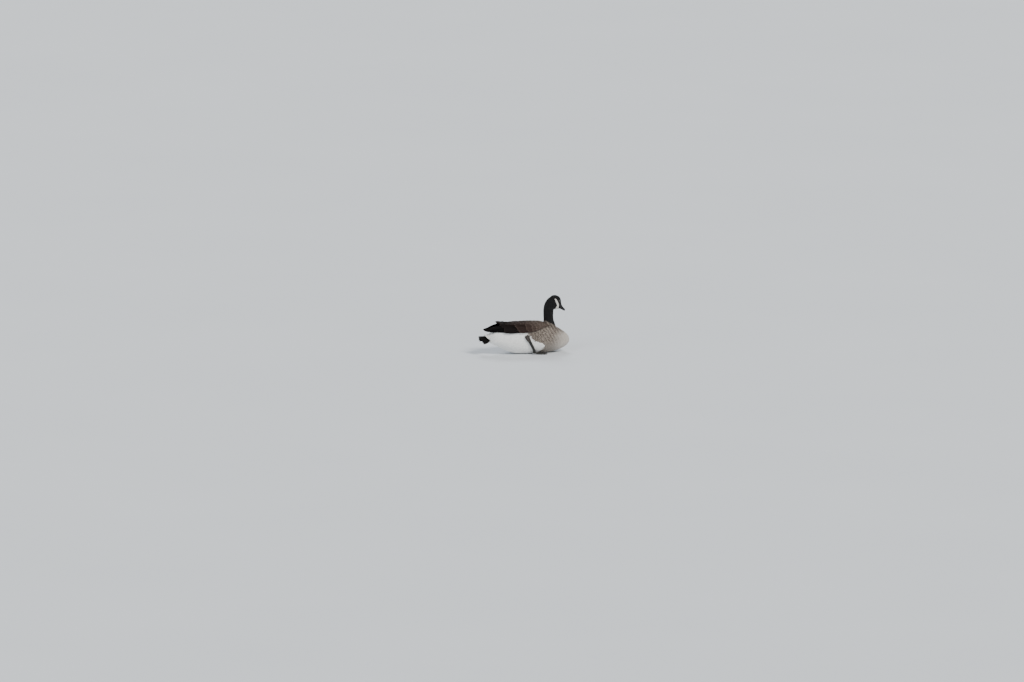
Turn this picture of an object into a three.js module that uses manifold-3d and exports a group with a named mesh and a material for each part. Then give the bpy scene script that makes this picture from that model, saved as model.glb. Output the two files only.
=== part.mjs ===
// A life-size Canada goose, resting on its belly as it floats, with its head turned a little to its left.
// Millimetres. +X is forward to the breast, +Y is the bird's left, +Z is up, and the floor is z = 0.
// The origin is on the floor under the middle of the bird's box.
import * as THREE from "three";
import { mergeVertices } from "three/addons/utils/BufferGeometryUtils.js";
import Module from "manifold-3d";

const wasm = await Module();
wasm.setup();

// Driving sizes
const BODY_LENGTH = 610; // breast to tail tip
const GAP = 0.4; // left between touching pieces
const FULLNESS = 2.25; // 2 is an ellipse, more is a fuller section
const CUT_AT_RUMP = -222; // where the tail is parted from the torso
const VANE_THICKNESS = 1.1;

const BREAST_X = BODY_LENGTH / 2;
const TAIL_TIP_X = -BODY_LENGTH / 2;
const RIGHT = -1;
const LEFT = 1;
const DEGREE = Math.PI / 180;

// The torso's sections: station, height of the widest line, half width, top and bottom.
// A bottom below 0 is cut off by the floor, which leaves the flat that the bird rests on.
const TORSO = [
  [-266, 111, 4, 114, 107],
  [-254, 110, 22, 125, 93],
  [-232, 108, 39, 141, 75],
  [-205, 106, 56, 167, 57],
  [-170, 107, 73, 187, 41],
  [-120, 106, 89, 193, 15],
  [-60, 104, 101, 196, -3],
  [20, 102, 106, 198, -7],
  [100, 99, 104, 195, -6],
  [170, 94, 95, 184, -1],
  [220, 89, 82, 165, 9],
  [260, 84, 64, 140, 24],
  [287, 80, 42, 117, 43],
  [BREAST_X - 4, 77, 19, 95, 61],
  [BREAST_X, 77, 3, 80, 74],
];

// The sections of the closed wings as they lie over the torso and on past the rump.
const WING = [
  [-275, 158, 22, 180, 120],
  [-240, 146, 36, 184, 110],
  [-205, 131, 56, 191, 100],
  [-190, 126, 66, 209, 97],
  [-178, 122, 71, 215, 95],
  [-150, 117, 83, 210, 90],
  [-110, 110, 98, 204, 80],
  [-50, 105, 109, 206, 70],
  [20, 103, 113, 206, 70],
  [80, 101, 110, 204, 70],
  [120, 99, 108, 201, 70],
  [152, 98, 104, 195, 70],
];

// How far round from level the wing's lower edge lies, in degrees, along the body.
const WING_EDGE = [
  [-250, 10],
  [-205, 15],
  [-160, 19],
  [-110, 22],
  [-50, 24],
  [20, 27],
  [80, 36],
  [120, 48],
  [150, 66],
];

// The neck's centre line, and its half width and half depth along it.
const NECK_LINE = [
  [172, 0, 140],
  [166, 0, 190],
  [163, 0, 232],
  [164, 1, 272],
  [170, 3, 303],
  [184, 5, 327],
  [204, 7, 341],
];
const NECK = [
  [0, 50, 46],
  [0.2, 42, 39],
  [0.36, 33, 32],
  [0.58, 30, 33],
  [0.76, 30, 34],
  [0.9, 28, 31],
  [1, 23, 25],
];

// The head in its own frame: forward is along the bill, and the origin is mid skull.
const HEAD_AT = [215, 8, 329.5];
const HEAD_TURN = 20; // degrees to the bird's left
const HEAD_NOD = 29.5; // degrees down
const HEAD = [
  [-50, 3, 3, 7, -1],
  [-46, 3, 13, 18, -12],
  [-34, 3, 22, 30, -26],
  [-14, 1, 25.5, 37.5, -43],
  [2, -2, 26, 39, -51],
  [16, -6, 24.5, 35, -52],
  [28, -10, 21, 25, -47],
  [37, -13, 17, 14, -39.5],
  [43, -15, 12.5, 5, -32],
  [45, -15, 3, -11, -19],
];

// The mouth line falls from the gape to the tip of the bill.
const MOUTH = [
  [26, -16],
  [48, -18.6],
  [74, -21.2],
  [96, -24.4],
];
// Bill stations: distance along the head's axis, half width, top of the culmen, underside of the jaw.
const BILL = [
  [26, 12.5, 7, -29],
  [38, 14.5, 8.5, -32.5],
  [48, 13.8, 2, -31.5],
  [60, 12.3, -5.5, -29.8],
  [73, 11.4, -11, -28.8],
  [84, 10.8, -14.4, -28.2],
  [91, 9, -16.6, -27.6],
  [95, 5, -18.6, -26.4],
];
const BILL_TIP = 97;
const EYE = { x: 9, y: 19.8, z: 10, radius: 6.3 };

// One leg on its right side: the thigh's stub in the flank, the heel, and down to the toes' joint.
const LEG_LINE = [
  [-16, 84, 126],
  [-9, 102, 121],
  [-2, 106, 110],
  [20, 105, 72],
  [40, 92, 36],
  [47, 84, 20],
];
const LEG = [
  [0, 10, 10],
  [0.15, 11.5, 12.5],
  [0.28, 9, 10.8],
  [0.6, 6.6, 9],
  [0.86, 7, 9],
  [1, 8.6, 8.6],
];
const TOE_JOINT = [47, 84, 17];
// Toes: spread in degrees, length, thickness at the root.
const TOES = [
  [-24, 68, 4.6],
  [0, 84, 5],
  [22, 74, 4.6],
];
const FOOT_TURN = -3; // degrees that the foot points outwards

// Reads a table's column at a station, with smooth steps and no overshoot between rows.
function read(rows, column, at) {
  const last = rows.length - 1;
  if (at <= rows[0][0]) return rows[0][column];
  if (at >= rows[last][0]) return rows[last][column];
  const slope = (i) => (rows[i + 1][column] - rows[i][column]) / (rows[i + 1][0] - rows[i][0]);
  const tangent = (i) => {
    if (i === 0) return slope(0);
    if (i === last) return slope(last - 1);
    const [before, after] = [slope(i - 1), slope(i)];
    return before * after <= 0 ? 0 : (2 * before * after) / (before + after);
  };
  const i = rows.findIndex((row) => row[0] > at) - 1;
  const width = rows[i + 1][0] - rows[i][0];
  const t = (at - rows[i][0]) / width;
  const [t2, t3] = [t * t, t * t * t];
  return (
    (2 * t3 - 3 * t2 + 1) * rows[i][column] +
    (t3 - 2 * t2 + t) * width * tangent(i) +
    (3 * t2 - 2 * t3) * rows[i + 1][column] +
    (t3 - t2) * width * tangent(i + 1)
  );
}

// A point of a table's section, turned by angle from the bird's left over the back, and grown outwards.
function sectionPoint(table, x, angle, grow = 0) {
  const [middle, halfWidth, top, bottom] = [1, 2, 3, 4].map((column) => read(table, column, x));
  const [c, s] = [Math.cos(angle), Math.sin(angle)];
  const power = 2 / FULLNESS;
  const reach = s > 0 ? top - middle : middle - bottom;
  return new THREE.Vector3(
    x,
    Math.sign(c) * Math.abs(c) ** power * (halfWidth + grow),
    middle + Math.sign(s) * Math.abs(s) ** power * (reach + grow),
  );
}

// Stations from one end to the other, closer together at both ends.
function stations(from, to, count) {
  return Array.from({ length: count }, (_, i) => {
    const even = i / (count - 1);
    const eased = (1 - Math.cos(Math.PI * even)) / 2;
    return from + (to - from) * (0.35 * even + 0.65 * eased);
  });
}

// A closed solid from rings of points of equal count, each end closed by a fan to its middle. The two
// halves of a ring are split alike, so that a thin sheet bends the same way on both of its faces.
function loft(rings) {
  const sides = rings[0].length;
  const middle = (ring) => ring.reduce((sum, p) => sum.add(p), new THREE.Vector3()).divideScalar(sides);
  const points = [...rings.flat(), middle(rings[0]), middle(rings.at(-1))];
  const faces = [];
  for (let r = 0; r < rings.length - 1; r++) {
    for (let s = 0; s < sides; s++) {
      const [a, b] = [r * sides + s, r * sides + ((s + 1) % sides)];
      if (s < sides / 2) faces.push(a, b, b + sides, a, b + sides, a + sides);
      else faces.push(a, b, a + sides, b, b + sides, a + sides);
    }
  }
  const [start, end] = [points.length - 2, points.length - 1];
  const lastRing = (rings.length - 1) * sides;
  for (let s = 0; s < sides && sides > 4; s++) {
    const next = (s + 1) % sides;
    faces.push(start, next, s, end, lastRing + s, lastRing + next);
  }
  if (sides === 4) {
    const [a, b, c, d] = [0, 1, 2, 3].map((corner) => lastRing + corner);
    faces.push(0, 2, 1, 0, 3, 2, a, b, c, a, c, d);
    points.splice(-2);
  }
  const geometry = new THREE.BufferGeometry().setFromPoints(points);
  geometry.setIndex(faces);
  return toSolid(geometry);
}

// A three.js geometry as a manifold solid, with its faces turned outwards.
function toSolid(geometry) {
  const bare = new THREE.BufferGeometry();
  bare.setAttribute("position", geometry.getAttribute("position"));
  bare.setIndex(geometry.index);
  const merged = mergeVertices(bare, 1e-3);
  const build = (triVerts) => {
    const vertProperties = new Float32Array(merged.getAttribute("position").array);
    return new wasm.Manifold(new wasm.Mesh({ numProp: 3, vertProperties, triVerts }));
  };
  const triangles = new Uint32Array(merged.index.array);
  const solid = build(triangles);
  return solid.volume() >= 0 ? solid : build(triangles.reverse());
}

// The solid's largest body, which drops a loose scrap.
function largest(solid) {
  return solid.decompose().reduce((best, body) => (body.volume() > best.volume() ? body : best));
}

const joined = (solids) => solids.reduce((sum, solid) => sum.add(solid));

const above = (point, floor = 0) => point.setZ(Math.max(point.z, floor));

// A solid with a table's sections.
function sectionLoft(table, { rings, sides, grow = 0, floor = -Infinity }) {
  const [from, to] = [table[0][0], table.at(-1)[0]];
  return loft(
    stations(from, to, rings).map((x) =>
      Array.from({ length: sides }, (_, s) =>
        above(sectionPoint(table, x, (2 * Math.PI * s) / sides, grow), floor),
      ),
    ),
  );
}

// A solid tube of changing section along a smooth line of points.
function lineLoft(line, table, { rings, sides, grow = 0, side = LEFT }) {
  const curve = new THREE.CatmullRomCurve3(line.map(([x, y, z]) => new THREE.Vector3(x, y * side, z)));
  const across = new THREE.Vector3(0, 1, 0);
  return loft(
    Array.from({ length: rings }, (_, r) => {
      const t = r / (rings - 1);
      const centre = curve.getPointAt(t);
      const tangent = curve.getTangentAt(t);
      const fore = new THREE.Vector3().crossVectors(across, tangent).normalize();
      const lateral = new THREE.Vector3().crossVectors(tangent, fore);
      const [halfWidth, halfDepth] = [read(table, 1, t) + grow, read(table, 2, t) + grow];
      return Array.from({ length: sides }, (_, s) => {
        const angle = (2 * Math.PI * s) / sides;
        return centre
          .clone()
          .addScaledVector(lateral, Math.cos(angle) * halfWidth)
          .addScaledVector(fore, Math.sin(angle) * halfDepth);
      });
    }),
  );
}

// One feather's vane: a thin blade with rows of four corners, from a sunk root to a rounded tip.
// at(t) gives the centre, and roll lifts one edge so that neighbours lie over one another.
function vane(at, { width, roll = 0, thickness = VANE_THICKNESS }) {
  const rows = [
    [0, 0.55],
    [0.4, 0.98],
    [0.86, 0.88],
    [1, 0.34],
  ];
  const step = 0.02;
  return loft(
    rows.map(([t, share]) => {
      const { centre, out } = at(t);
      const ahead = at(Math.min(t + step, 1)).centre.sub(at(Math.max(t - step, 0)).centre).normalize();
      const lateral = new THREE.Vector3().crossVectors(ahead, out).normalize();
      lateral.applyAxisAngle(ahead, roll);
      const normal = new THREE.Vector3().crossVectors(lateral, ahead).normalize();
      const halfWidth = (width * share) / 2;
      const corner = (across, up) =>
        centre
          .clone()
          .addScaledVector(lateral, across * halfWidth)
          .addScaledVector(normal, (up * thickness) / 2);
      return [corner(1, 1), corner(-1, 1), corner(-1, -1), corner(1, -1)];
    }),
  );
}

const mix = (a, b, t) => a + (b - a) * t;

// A seeded draw, so that feathers vary as real ones do and come out the same each time.
function draws(seed) {
  let state = seed;
  return (spread) => {
    state = (state * 16807) % 2147483647;
    return (state / 2147483647 - 0.5) * 2 * spread;
  };
}

// Torso and tail core are one form, parted by a thin cut at the rump.
const bodyWhole = sectionLoft(TORSO, { rings: 30, sides: 28, floor: 0 });
const bodyGrown = sectionLoft(TORSO, { rings: 30, sides: 28, grow: GAP, floor: 0 });

const neckWhole = lineLoft(NECK_LINE, NECK, { rings: 22, sides: 24 });
const neckGrown = lineLoft(NECK_LINE, NECK, { rings: 22, sides: 24, grow: GAP });

function makeTorso() {
  return largest(bodyWhole.trimByPlane([1, 0, 0], CUT_AT_RUMP + GAP / 2));
}

// The tail: the rump's cone with its coverts, and fourteen rectrices that overlap from the middle outwards.
const RECTRICES = {
  pairs: 7, rootX: -236, tipX: TAIL_TIP_X, rootHeight: 119, tipHeight: 123,
  rootSpread: 24, tipSpread: 57, outerShorter: 15, width: 18, layer: -1.5, rootArch: 11, tipArch: 33,
};
const UPPER_COVERTS = {
  pairs: 3, rootX: -228, tipX: -272, rootHeight: 129, tipHeight: 131,
  rootSpread: 20, tipSpread: 34, outerShorter: 12, width: 23, layer: -2, rootArch: 8, tipArch: 12,
};
const LOWER_COVERTS = {
  pairs: 3, rootX: -226, tipX: -266, rootHeight: 86, tipHeight: 93,
  rootSpread: 20, tipSpread: 32, outerShorter: 10, width: 25, layer: 1.4, rootArch: -4, tipArch: 5,
};

function makeTail() {
  const pieces = [bodyWhole.trimByPlane([-1, 0, 0], -(CUT_AT_RUMP - GAP / 2))];
  for (const fan of [RECTRICES, UPPER_COVERTS, LOWER_COVERTS]) {
    for (let pair = 0; pair < fan.pairs; pair++) {
      for (const side of [RIGHT, LEFT]) pieces.push(fanVane(fan, pair, side));
    }
  }
  return largest(joined(pieces));
}

// One vane of a fan: the middle pair is longest, and each outer pair lies a layer further from it and
// lower down the fan's arch, tilted with it.
function fanVane(fan, pair, side) {
  const outer = (pair + 0.5) / (fan.pairs - 0.5);
  const depth = fan.layer * (pair + (side === LEFT ? 0.5 : 0));
  const arched = (height, arch) => height + depth - arch * outer ** 2;
  const root = new THREE.Vector3(
    fan.rootX,
    side * outer * fan.rootSpread,
    arched(fan.rootHeight, fan.rootArch),
  );
  const tip = new THREE.Vector3(
    fan.tipX + fan.outerShorter * outer ** 2,
    side * outer * fan.tipSpread,
    arched(fan.tipHeight, fan.tipArch),
  );
  const slope = (2 * fan.tipArch * outer) / fan.tipSpread;
  const out = new THREE.Vector3(0, side * slope, 1).normalize();
  return vane((t) => ({ centre: root.clone().lerp(tip, t), out }), { width: fan.width });
}

// A point on the closed wing, lifted off its surface, with the way out.
function wingPoint(x, angle, lift, side) {
  const small = 0.02;
  const here = sectionPoint(WING, x, angle);
  const along = sectionPoint(WING, x + 4, angle).sub(sectionPoint(WING, x - 4, angle));
  const round = sectionPoint(WING, x, angle + small).sub(sectionPoint(WING, x, angle - small));
  const out = new THREE.Vector3().crossVectors(round, along).normalize();
  if (out.z * Math.sin(angle) + out.y * Math.cos(angle) < 0) out.negate();
  const centre = here.addScaledVector(out, lift);
  centre.y *= side;
  out.y *= side;
  return { centre, out };
}

// The tiers of a closed wing, from the lowest to the topmost. Each is rooted and ends at the stations given
// for the wing's lower edge and for the back, and fills a share of the way up between them.
const TIERS = [
  { name: "secondaries", count: 8, root: [-30, -70], tip: [-150, -196], fill: [0.05, 0.93] },
  { name: "greater coverts", count: 8, root: [45, 20], tip: [-62, -92], fill: [0.06, 0.93] },
  { name: "median coverts", count: 7, root: [92, 80], tip: [8, -10], fill: [0.1, 0.92] },
  { name: "lesser coverts", count: 5, root: [112, 104], tip: [62, 54], fill: [0.18, 0.88] },
];
const PRIMARIES = {
  count: 6, root: -126, straight: -165, tip: [-236, -275], fill: [0.08, 0.36], width: 19, layer: 1.5,
};
const SUNK = -4.5; // a vane's root under the wing's surface
const RAISED = 3.6; // a vane's tip above it
const COVER = 1.55; // a vane's width as a multiple of the distance to its neighbour

function makeWing(side, seed) {
  const draw = draws(seed);
  const pieces = [wingCore(side)];
  for (const tier of TIERS) {
    for (let i = 0; i < tier.count; i++) pieces.push(tierVane(tier, i, side, draw));
  }
  for (let i = 0; i < PRIMARIES.count; i++) pieces.push(primary(i, side));
  const inner = side === LEFT ? [0, 1, 0] : [0, -1, 0];
  return largest(joined(pieces).trimByPlane(inner, GAP / 2).subtract(bodyGrown).subtract(neckGrown));
}

const wingEdge = (x) => read(WING_EDGE, 1, x) * DEGREE;
const wingAngle = (x, share) => mix(wingEdge(x), Math.PI / 2, share);

// A vane of a tier. It is as wide as the way to its neighbour asks, and tilted so that it clears it.
function tierVane({ count, root, tip, fill }, i, side, draw) {
  const up = i / (count - 1);
  const share = mix(fill[0], fill[1], up);
  const rootX = mix(root[0], root[1], up) + draw(2);
  const tipX = mix(tip[0], tip[1], up) + draw(4);
  const at = (t) => {
    const x = mix(rootX, tipX, t);
    return wingPoint(x, wingAngle(x, share), mix(SUNK, RAISED, t ** 0.8), side);
  };
  const middle = mix(rootX, tipX, 0.75);
  const shareStep = (fill[1] - fill[0]) / (count - 1);
  const near = wingPoint(middle, wingAngle(middle, share), 0, side).centre;
  const next = wingPoint(middle, wingAngle(middle, share + shareStep), 0, side).centre;
  const pitch = near.distanceTo(next);
  const roll = Math.asin(Math.min((VANE_THICKNESS + GAP) / pitch, 0.3));
  return vane(at, { width: pitch * COVER, roll: roll * side });
}

// A primary: the six lie flat on one another in a stack, the topmost shortest. It follows the wing as far
// as the station from which it runs on straight to its tip.
function primary(i, side) {
  const { count, root, straight, tip, fill, width, layer } = PRIMARIES;
  const up = i / (count - 1);
  const share = mix(fill[0], fill[1], 1 - up);
  const tipX = mix(tip[0], tip[1], up);
  const lift = -0.4 - layer * i;
  const onWing = (x) => wingPoint(x, wingAngle(x, share), lift, side);
  const [leaving, end] = [onWing(straight), onWing(tipX)];
  const at = (t) => {
    const x = mix(root, tipX, t);
    if (x > straight) return onWing(x);
    const gone = (x - straight) / (tipX - straight);
    const out = leaving.out.clone().lerp(end.out, gone).normalize();
    return { centre: leaving.centre.clone().lerp(end.centre, gone), out };
  };
  return vane(at, { width });
}

// The wing's body: a shell over the torso whose inside is later cut to the torso's form.
function wingCore(side) {
  const [lowFront, highFront] = [138, 122];
  const [lowBack, highBack] = [-140, -186];
  const [rings, across] = [14, 8];
  const surface = -1.8;
  const depths = [[highBack, 7], [-176, 11], [-90, 15], [lowFront, 17]];
  return loft(
    Array.from({ length: rings }, (_, r) => {
      const row = (deeper) =>
        Array.from({ length: across }, (_, a) => {
          const share = a / (across - 1);
          const x = mix(mix(lowBack, highBack, share), mix(lowFront, highFront, share), r / (rings - 1));
          const lift = surface - deeper * read(depths, 1, x);
          return wingPoint(x, wingAngle(x, share), lift, side).centre;
        });
      return [...row(0), ...row(1).reverse()];
    }),
  );
}

// The head's frame, as a matrix from head to body.
const headGroup = new THREE.Group();
headGroup.position.set(...HEAD_AT);
headGroup.rotation.set(0, HEAD_NOD * DEGREE, HEAD_TURN * DEGREE, "ZYX");
headGroup.updateMatrixWorld(true);
const toBody = (solid) => solid.transform(headGroup.matrixWorld.elements);
const toHead = (solid) => solid.transform(headGroup.matrixWorld.clone().invert().elements);

const headForm = (grow) => sectionLoft(HEAD, { rings: 24, sides: 24, grow });

// The neck is parted from the head by a plane across the throat, and from the torso by the torso's form.
const THROAT_PLANE = { normal: new THREE.Vector3(0.64, 0.06, 0.77).normalize(), through: [170, 2, 298] };

function makeHead() {
  const { normal, through } = THROAT_PLANE;
  const distance = normal.dot(new THREE.Vector3(...through));
  const whole = toBody(headForm(0)).add(neckWhole);
  const upper = toHead(whole.trimByPlane(normal.toArray(), distance + GAP / 2));
  const lids = [LEFT, RIGHT].map(eyelids);
  const sockets = [LEFT, RIGHT].map((side) => eyeball(side, GAP));
  return largest(joined([upper, ...lids]).subtract(joined(sockets)));
}

function makeNeck() {
  const { normal, through } = THROAT_PLANE;
  const distance = normal.dot(new THREE.Vector3(...through));
  const back = normal.clone().negate();
  const whole = toBody(headForm(0)).add(neckWhole);
  return largest(whole.trimByPlane(back.toArray(), -(distance - GAP / 2)).subtract(bodyGrown));
}

function eyeball(side, grow = 0) {
  const ball = new THREE.SphereGeometry(EYE.radius + grow, 12, 8);
  ball.translate(EYE.x, EYE.y * side, EYE.z);
  return toSolid(ball);
}

// Both lids of one eye: a soft ring, longer than high, set where the eyeball leaves the head.
function eyelids(side) {
  const ring = new THREE.TorusGeometry(EYE.radius - 0.2, 1.3, 6, 18);
  ring.scale(1.12, 0.94, 1.2);
  ring.rotateX(Math.PI / 2);
  ring.rotateZ(-12 * DEGREE * side);
  ring.translate(EYE.x, (EYE.y + 3.1) * side, EYE.z);
  return toSolid(ring);
}

// A bill half as a loft of half sections between the mouth line and the culmen or the jaw's underside.
function billHalf(upper) {
  const seam = GAP / 2;
  const rows = stations(BILL[0][0], BILL_TIP, 15);
  return loft(
    rows.map((x) => {
      const mouth = read(MOUTH, 1, x);
      const close = Math.sqrt(Math.max(1 - ((x - 84) / (BILL_TIP + 0.5 - 84)) ** 2, 0.02));
      const taper = x > 84 ? close : 1;
      const halfWidth = (read(BILL, 1, x) - (upper ? 0 : 1.4)) * (x > 90 ? Math.max(taper, 0.45) : 1);
      const far = upper ? read(BILL, 2, x) : read(BILL, 3, x);
      const nearHeight = upper ? mouth + seam : mouth - seam;
      return Array.from({ length: 16 }, (_, s) => {
        const angle = (2 * Math.PI * s) / 16;
        const [c, h] = [Math.cos(angle), Math.sin(angle)];
        const lip = 1.2;
        const z = h >= 0 ? mix(nearHeight, far, h ** 0.85) : nearHeight;
        const rim = h < 0 ? Math.abs(c) : Math.abs(c) ** 0.8;
        const rise = h < 0 ? -h * lip * (upper ? 1 : -1) : 0;
        return new THREE.Vector3(x, Math.sign(c) * rim * halfWidth, z + rise);
      });
    }),
  );
}

function makeUpperBill() {
  const nail = new THREE.SphereGeometry(1, 12, 8);
  nail.scale(6.2, 5.6, 3);
  nail.rotateY(24 * DEGREE);
  nail.translate(87.4, 0, -17.6);
  const nostrils = [LEFT, RIGHT].map((side) => {
    const pit = new THREE.SphereGeometry(1, 10, 6);
    pit.scale(5, 1.8, 2.2);
    pit.rotateY(18 * DEGREE);
    pit.translate(56, 7.6 * side, -8.8);
    return toSolid(pit);
  });
  const whole = billHalf(true).add(toSolid(nail)).subtract(joined(nostrils));
  return largest(whole.subtract(headForm(GAP)).subtract(toHead(neckWhole)));
}

function makeLowerBill() {
  return largest(billHalf(false).subtract(headForm(GAP)));
}

// A leg from the heel down, sunk into the flank and cut to its form.
const legForm = (side, grow) => lineLoft(LEG_LINE, LEG, { rings: 14, sides: 12, side, grow });

function makeLeg(side) {
  return largest(legForm(side, 0).subtract(bodyGrown));
}

// A webbed foot flat on the floor: three front toes with claws, a small hind toe and the webs between.
function makeFoot(side) {
  const [jointX, jointY, jointZ] = TOE_JOINT;
  const joint = new THREE.Vector3(jointX, jointY * side, jointZ);
  const heading = (spread) => (FOOT_TURN + spread) * DEGREE * side;
  const along = (spread, reach, height) =>
    new THREE.Vector3(
      joint.x + Math.cos(heading(spread)) * reach,
      joint.y + Math.sin(heading(spread)) * reach,
      height,
    );
  const pieces = TOES.map(([spread, length, radius]) => toe(joint, along, spread, length, radius));
  pieces.push(toe(joint, (spread, reach, height) => along(spread, -reach, height + 5), 30, 20, 2.8));
  for (let i = 0; i < TOES.length - 1; i++) pieces.push(web(along, TOES[i], TOES[i + 1]));
  return largest(joined(pieces).subtract(legForm(side, GAP)).subtract(bodyGrown));
}

function toe(joint, along, spread, length, radius) {
  const CLAW = 9;
  const points = [
    joint.clone(),
    along(spread, length * 0.22, 8.5),
    along(spread, length * 0.5, 4),
    along(spread, length, 3.2),
    along(spread, length + CLAW, 1.2),
  ];
  const curve = new THREE.CatmullRomCurve3(points);
  const swell = [
    [0, 1.45],
    [0.17, 0.95],
    [0.36, 1.12],
    [0.58, 0.85],
    [0.78, 0.95],
    [0.89, 0.66],
    [1, 0.14],
  ];
  const up = new THREE.Vector3(0, 0, 1);
  return loft(
    swell.map(([t, share]) => {
      const centre = curve.getPointAt(t);
      const lateral = new THREE.Vector3().crossVectors(up, curve.getTangentAt(t)).normalize();
      return Array.from({ length: 8 }, (_, s) => {
        const angle = (2 * Math.PI * (s + 0.5)) / 8;
        const point = centre
          .clone()
          .addScaledVector(lateral, Math.cos(angle) * radius * share)
          .addScaledVector(up, Math.sin(angle) * radius * share);
        return above(point);
      });
    }),
  );
}

// The web between two toes: a thin sheet that sags a little between them and has a hollow front edge.
function web(along, [spreadA, lengthA], [spreadB, lengthB]) {
  const THICKNESS = 1.3;
  const HOLLOW = 0.12;
  const columns = 5;
  const reaches = [0.12, 0.5, 0.9];
  const sheet = (lift) =>
    reaches.map((share) =>
      Array.from({ length: columns }, (_, c) => {
        const t = c / (columns - 1);
        const length = mix(lengthA, lengthB, t) * (1 - HOLLOW * 4 * t * (1 - t) * share);
        const height = read([[0, 12], [0.25, 7.5], [0.5, 3.2], [1, 1.6]], 1, share);
        return along(mix(spreadA, spreadB, t), length * share, Math.max(height - 0.8, 0.9) + lift);
      }),
    );
  const [upper, lower] = [sheet(THICKNESS / 2), sheet(-THICKNESS / 2)];
  return loft(reaches.map((_, r) => [...upper[r], ...lower[r].reverse()]));
}

const finish = (color, roughness) => new THREE.MeshStandardMaterial({ color, roughness, metalness: 0 });
const MATERIALS = {
  blackFeather: finish(0x0b0a0c, 0.6),
  greyFeather: finish(0x8b7f76, 0.75),
  wingFeather: finish(0x463a35, 0.7),
  tailFeather: finish(0x131113, 0.6),
  horn: finish(0x0c0c0e, 0.38),
  legSkin: finish(0x1b1b1f, 0.5),
  eye: finish(0x1a0f08, 0.08),
};

const goose = new THREE.Group();
const body = new THREE.Group();
goose.add(body, headGroup);

function place(group, name, solid, material) {
  const { numProp, vertProperties, triVerts } = solid.getMesh();
  const geometry = new THREE.BufferGeometry();
  const positions = new Float32Array((vertProperties.length / numProp) * 3);
  for (let i = 0; i < positions.length / 3; i++) {
    positions.set(vertProperties.subarray(i * numProp, i * numProp + 3), i * 3);
  }
  geometry.setAttribute("position", new THREE.BufferAttribute(positions, 3));
  geometry.setIndex(new THREE.BufferAttribute(triVerts, 1));
  geometry.computeVertexNormals();
  const mesh = new THREE.Mesh(geometry, material);
  mesh.name = name;
  group.add(mesh);
}

place(body, "torso", makeTorso(), MATERIALS.greyFeather);
place(body, "tail", makeTail(), MATERIALS.tailFeather);
place(body, "neck", makeNeck(), MATERIALS.blackFeather);
place(headGroup, "head", makeHead(), MATERIALS.blackFeather);
place(headGroup, "bill_upper", makeUpperBill(), MATERIALS.horn);
place(headGroup, "bill_lower", makeLowerBill(), MATERIALS.horn);
for (const [side, word, seed] of [
  [RIGHT, "right", 11],
  [LEFT, "left", 23],
]) {
  place(headGroup, "eye_" + word, eyeball(side), MATERIALS.eye);
  place(body, "wing_" + word, makeWing(side, seed), MATERIALS.wingFeather);
  place(body, "leg_" + word, makeLeg(side), MATERIALS.legSkin);
  place(body, "foot_" + word, makeFoot(side), MATERIALS.legSkin);
}

export default goose;
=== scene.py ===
# %% [markdown]
# # A Canada goose at rest
# The model is a life-size bird that lies on its belly, head up and turned a little away. Its solids give
# its form. Here they are dressed: one skin under all the body, and over it some fifteen thousand
# feathers, each a thin closed vane. Objects are in metres and tables in millimetres, with +X to the
# breast and +Y to the bird's left.

import math

import bpy
import numpy as np
from mathutils import Matrix, Vector
from mathutils.bvhtree import BVHTree
from mathutils.kdtree import KDTree


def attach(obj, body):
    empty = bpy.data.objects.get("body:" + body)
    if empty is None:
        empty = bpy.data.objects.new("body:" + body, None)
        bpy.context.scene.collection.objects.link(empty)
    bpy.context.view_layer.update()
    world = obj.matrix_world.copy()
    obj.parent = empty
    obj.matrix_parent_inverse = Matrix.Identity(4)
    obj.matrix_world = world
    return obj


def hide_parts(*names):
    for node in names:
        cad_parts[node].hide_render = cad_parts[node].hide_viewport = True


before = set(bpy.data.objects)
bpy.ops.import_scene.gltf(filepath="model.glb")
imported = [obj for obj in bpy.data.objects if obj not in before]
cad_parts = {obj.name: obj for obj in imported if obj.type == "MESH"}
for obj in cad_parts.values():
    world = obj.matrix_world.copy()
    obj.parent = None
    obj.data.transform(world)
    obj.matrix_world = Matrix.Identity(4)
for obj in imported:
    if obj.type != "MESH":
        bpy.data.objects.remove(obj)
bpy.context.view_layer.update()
MM = 0.001
RIGHT, LEFT = -1, 1
SIDES = ((RIGHT, "right"), (LEFT, "left"))

# %% [markdown]
# ## Camera, floor and light
# The bird was seen from far off, a little from behind its right side and from ten degrees above, so a
# very long lens stands ninety metres away. A shorter lens would swell the near flank. The frame shows a
# strip of floor twenty-six metres deep, so the lights are far ones that light it evenly. They are also
# broad, as soft boxes are: black plumage shows its form only through the sheen of a broad light.

# %% Camera
VIEW_TURN, VIEW_RISE = math.radians(-15), math.radians(10)
VIEW_DISTANCE = 89.5
VIEW_WIDTH = math.radians(4.26)
BIRD_IN_FRAME = (-0.0787, 0.0763)  # how far the frame's middle lies from the origin, right and up

back = Vector(
    (
        math.sin(VIEW_TURN) * math.cos(VIEW_RISE),
        -math.cos(VIEW_TURN) * math.cos(VIEW_RISE),
        math.sin(VIEW_RISE),
    )
)
sideways = Vector((math.cos(VIEW_TURN), math.sin(VIEW_TURN), 0))
upwards = back.cross(sideways)
target = sideways * BIRD_IN_FRAME[0] + upwards * BIRD_IN_FRAME[1]
bpy.ops.object.camera_add()
camera = bpy.context.object
camera.location = target + back * VIEW_DISTANCE
camera.rotation_mode = "QUATERNION"
camera.rotation_quaternion = (-back).to_track_quat("-Z", "Y")
camera.data.angle = VIEW_WIDTH
camera.data.clip_start, camera.data.clip_end = 1, 400
bpy.context.scene.camera = camera
print("lens", round(camera.data.lens), "mm")


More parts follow.
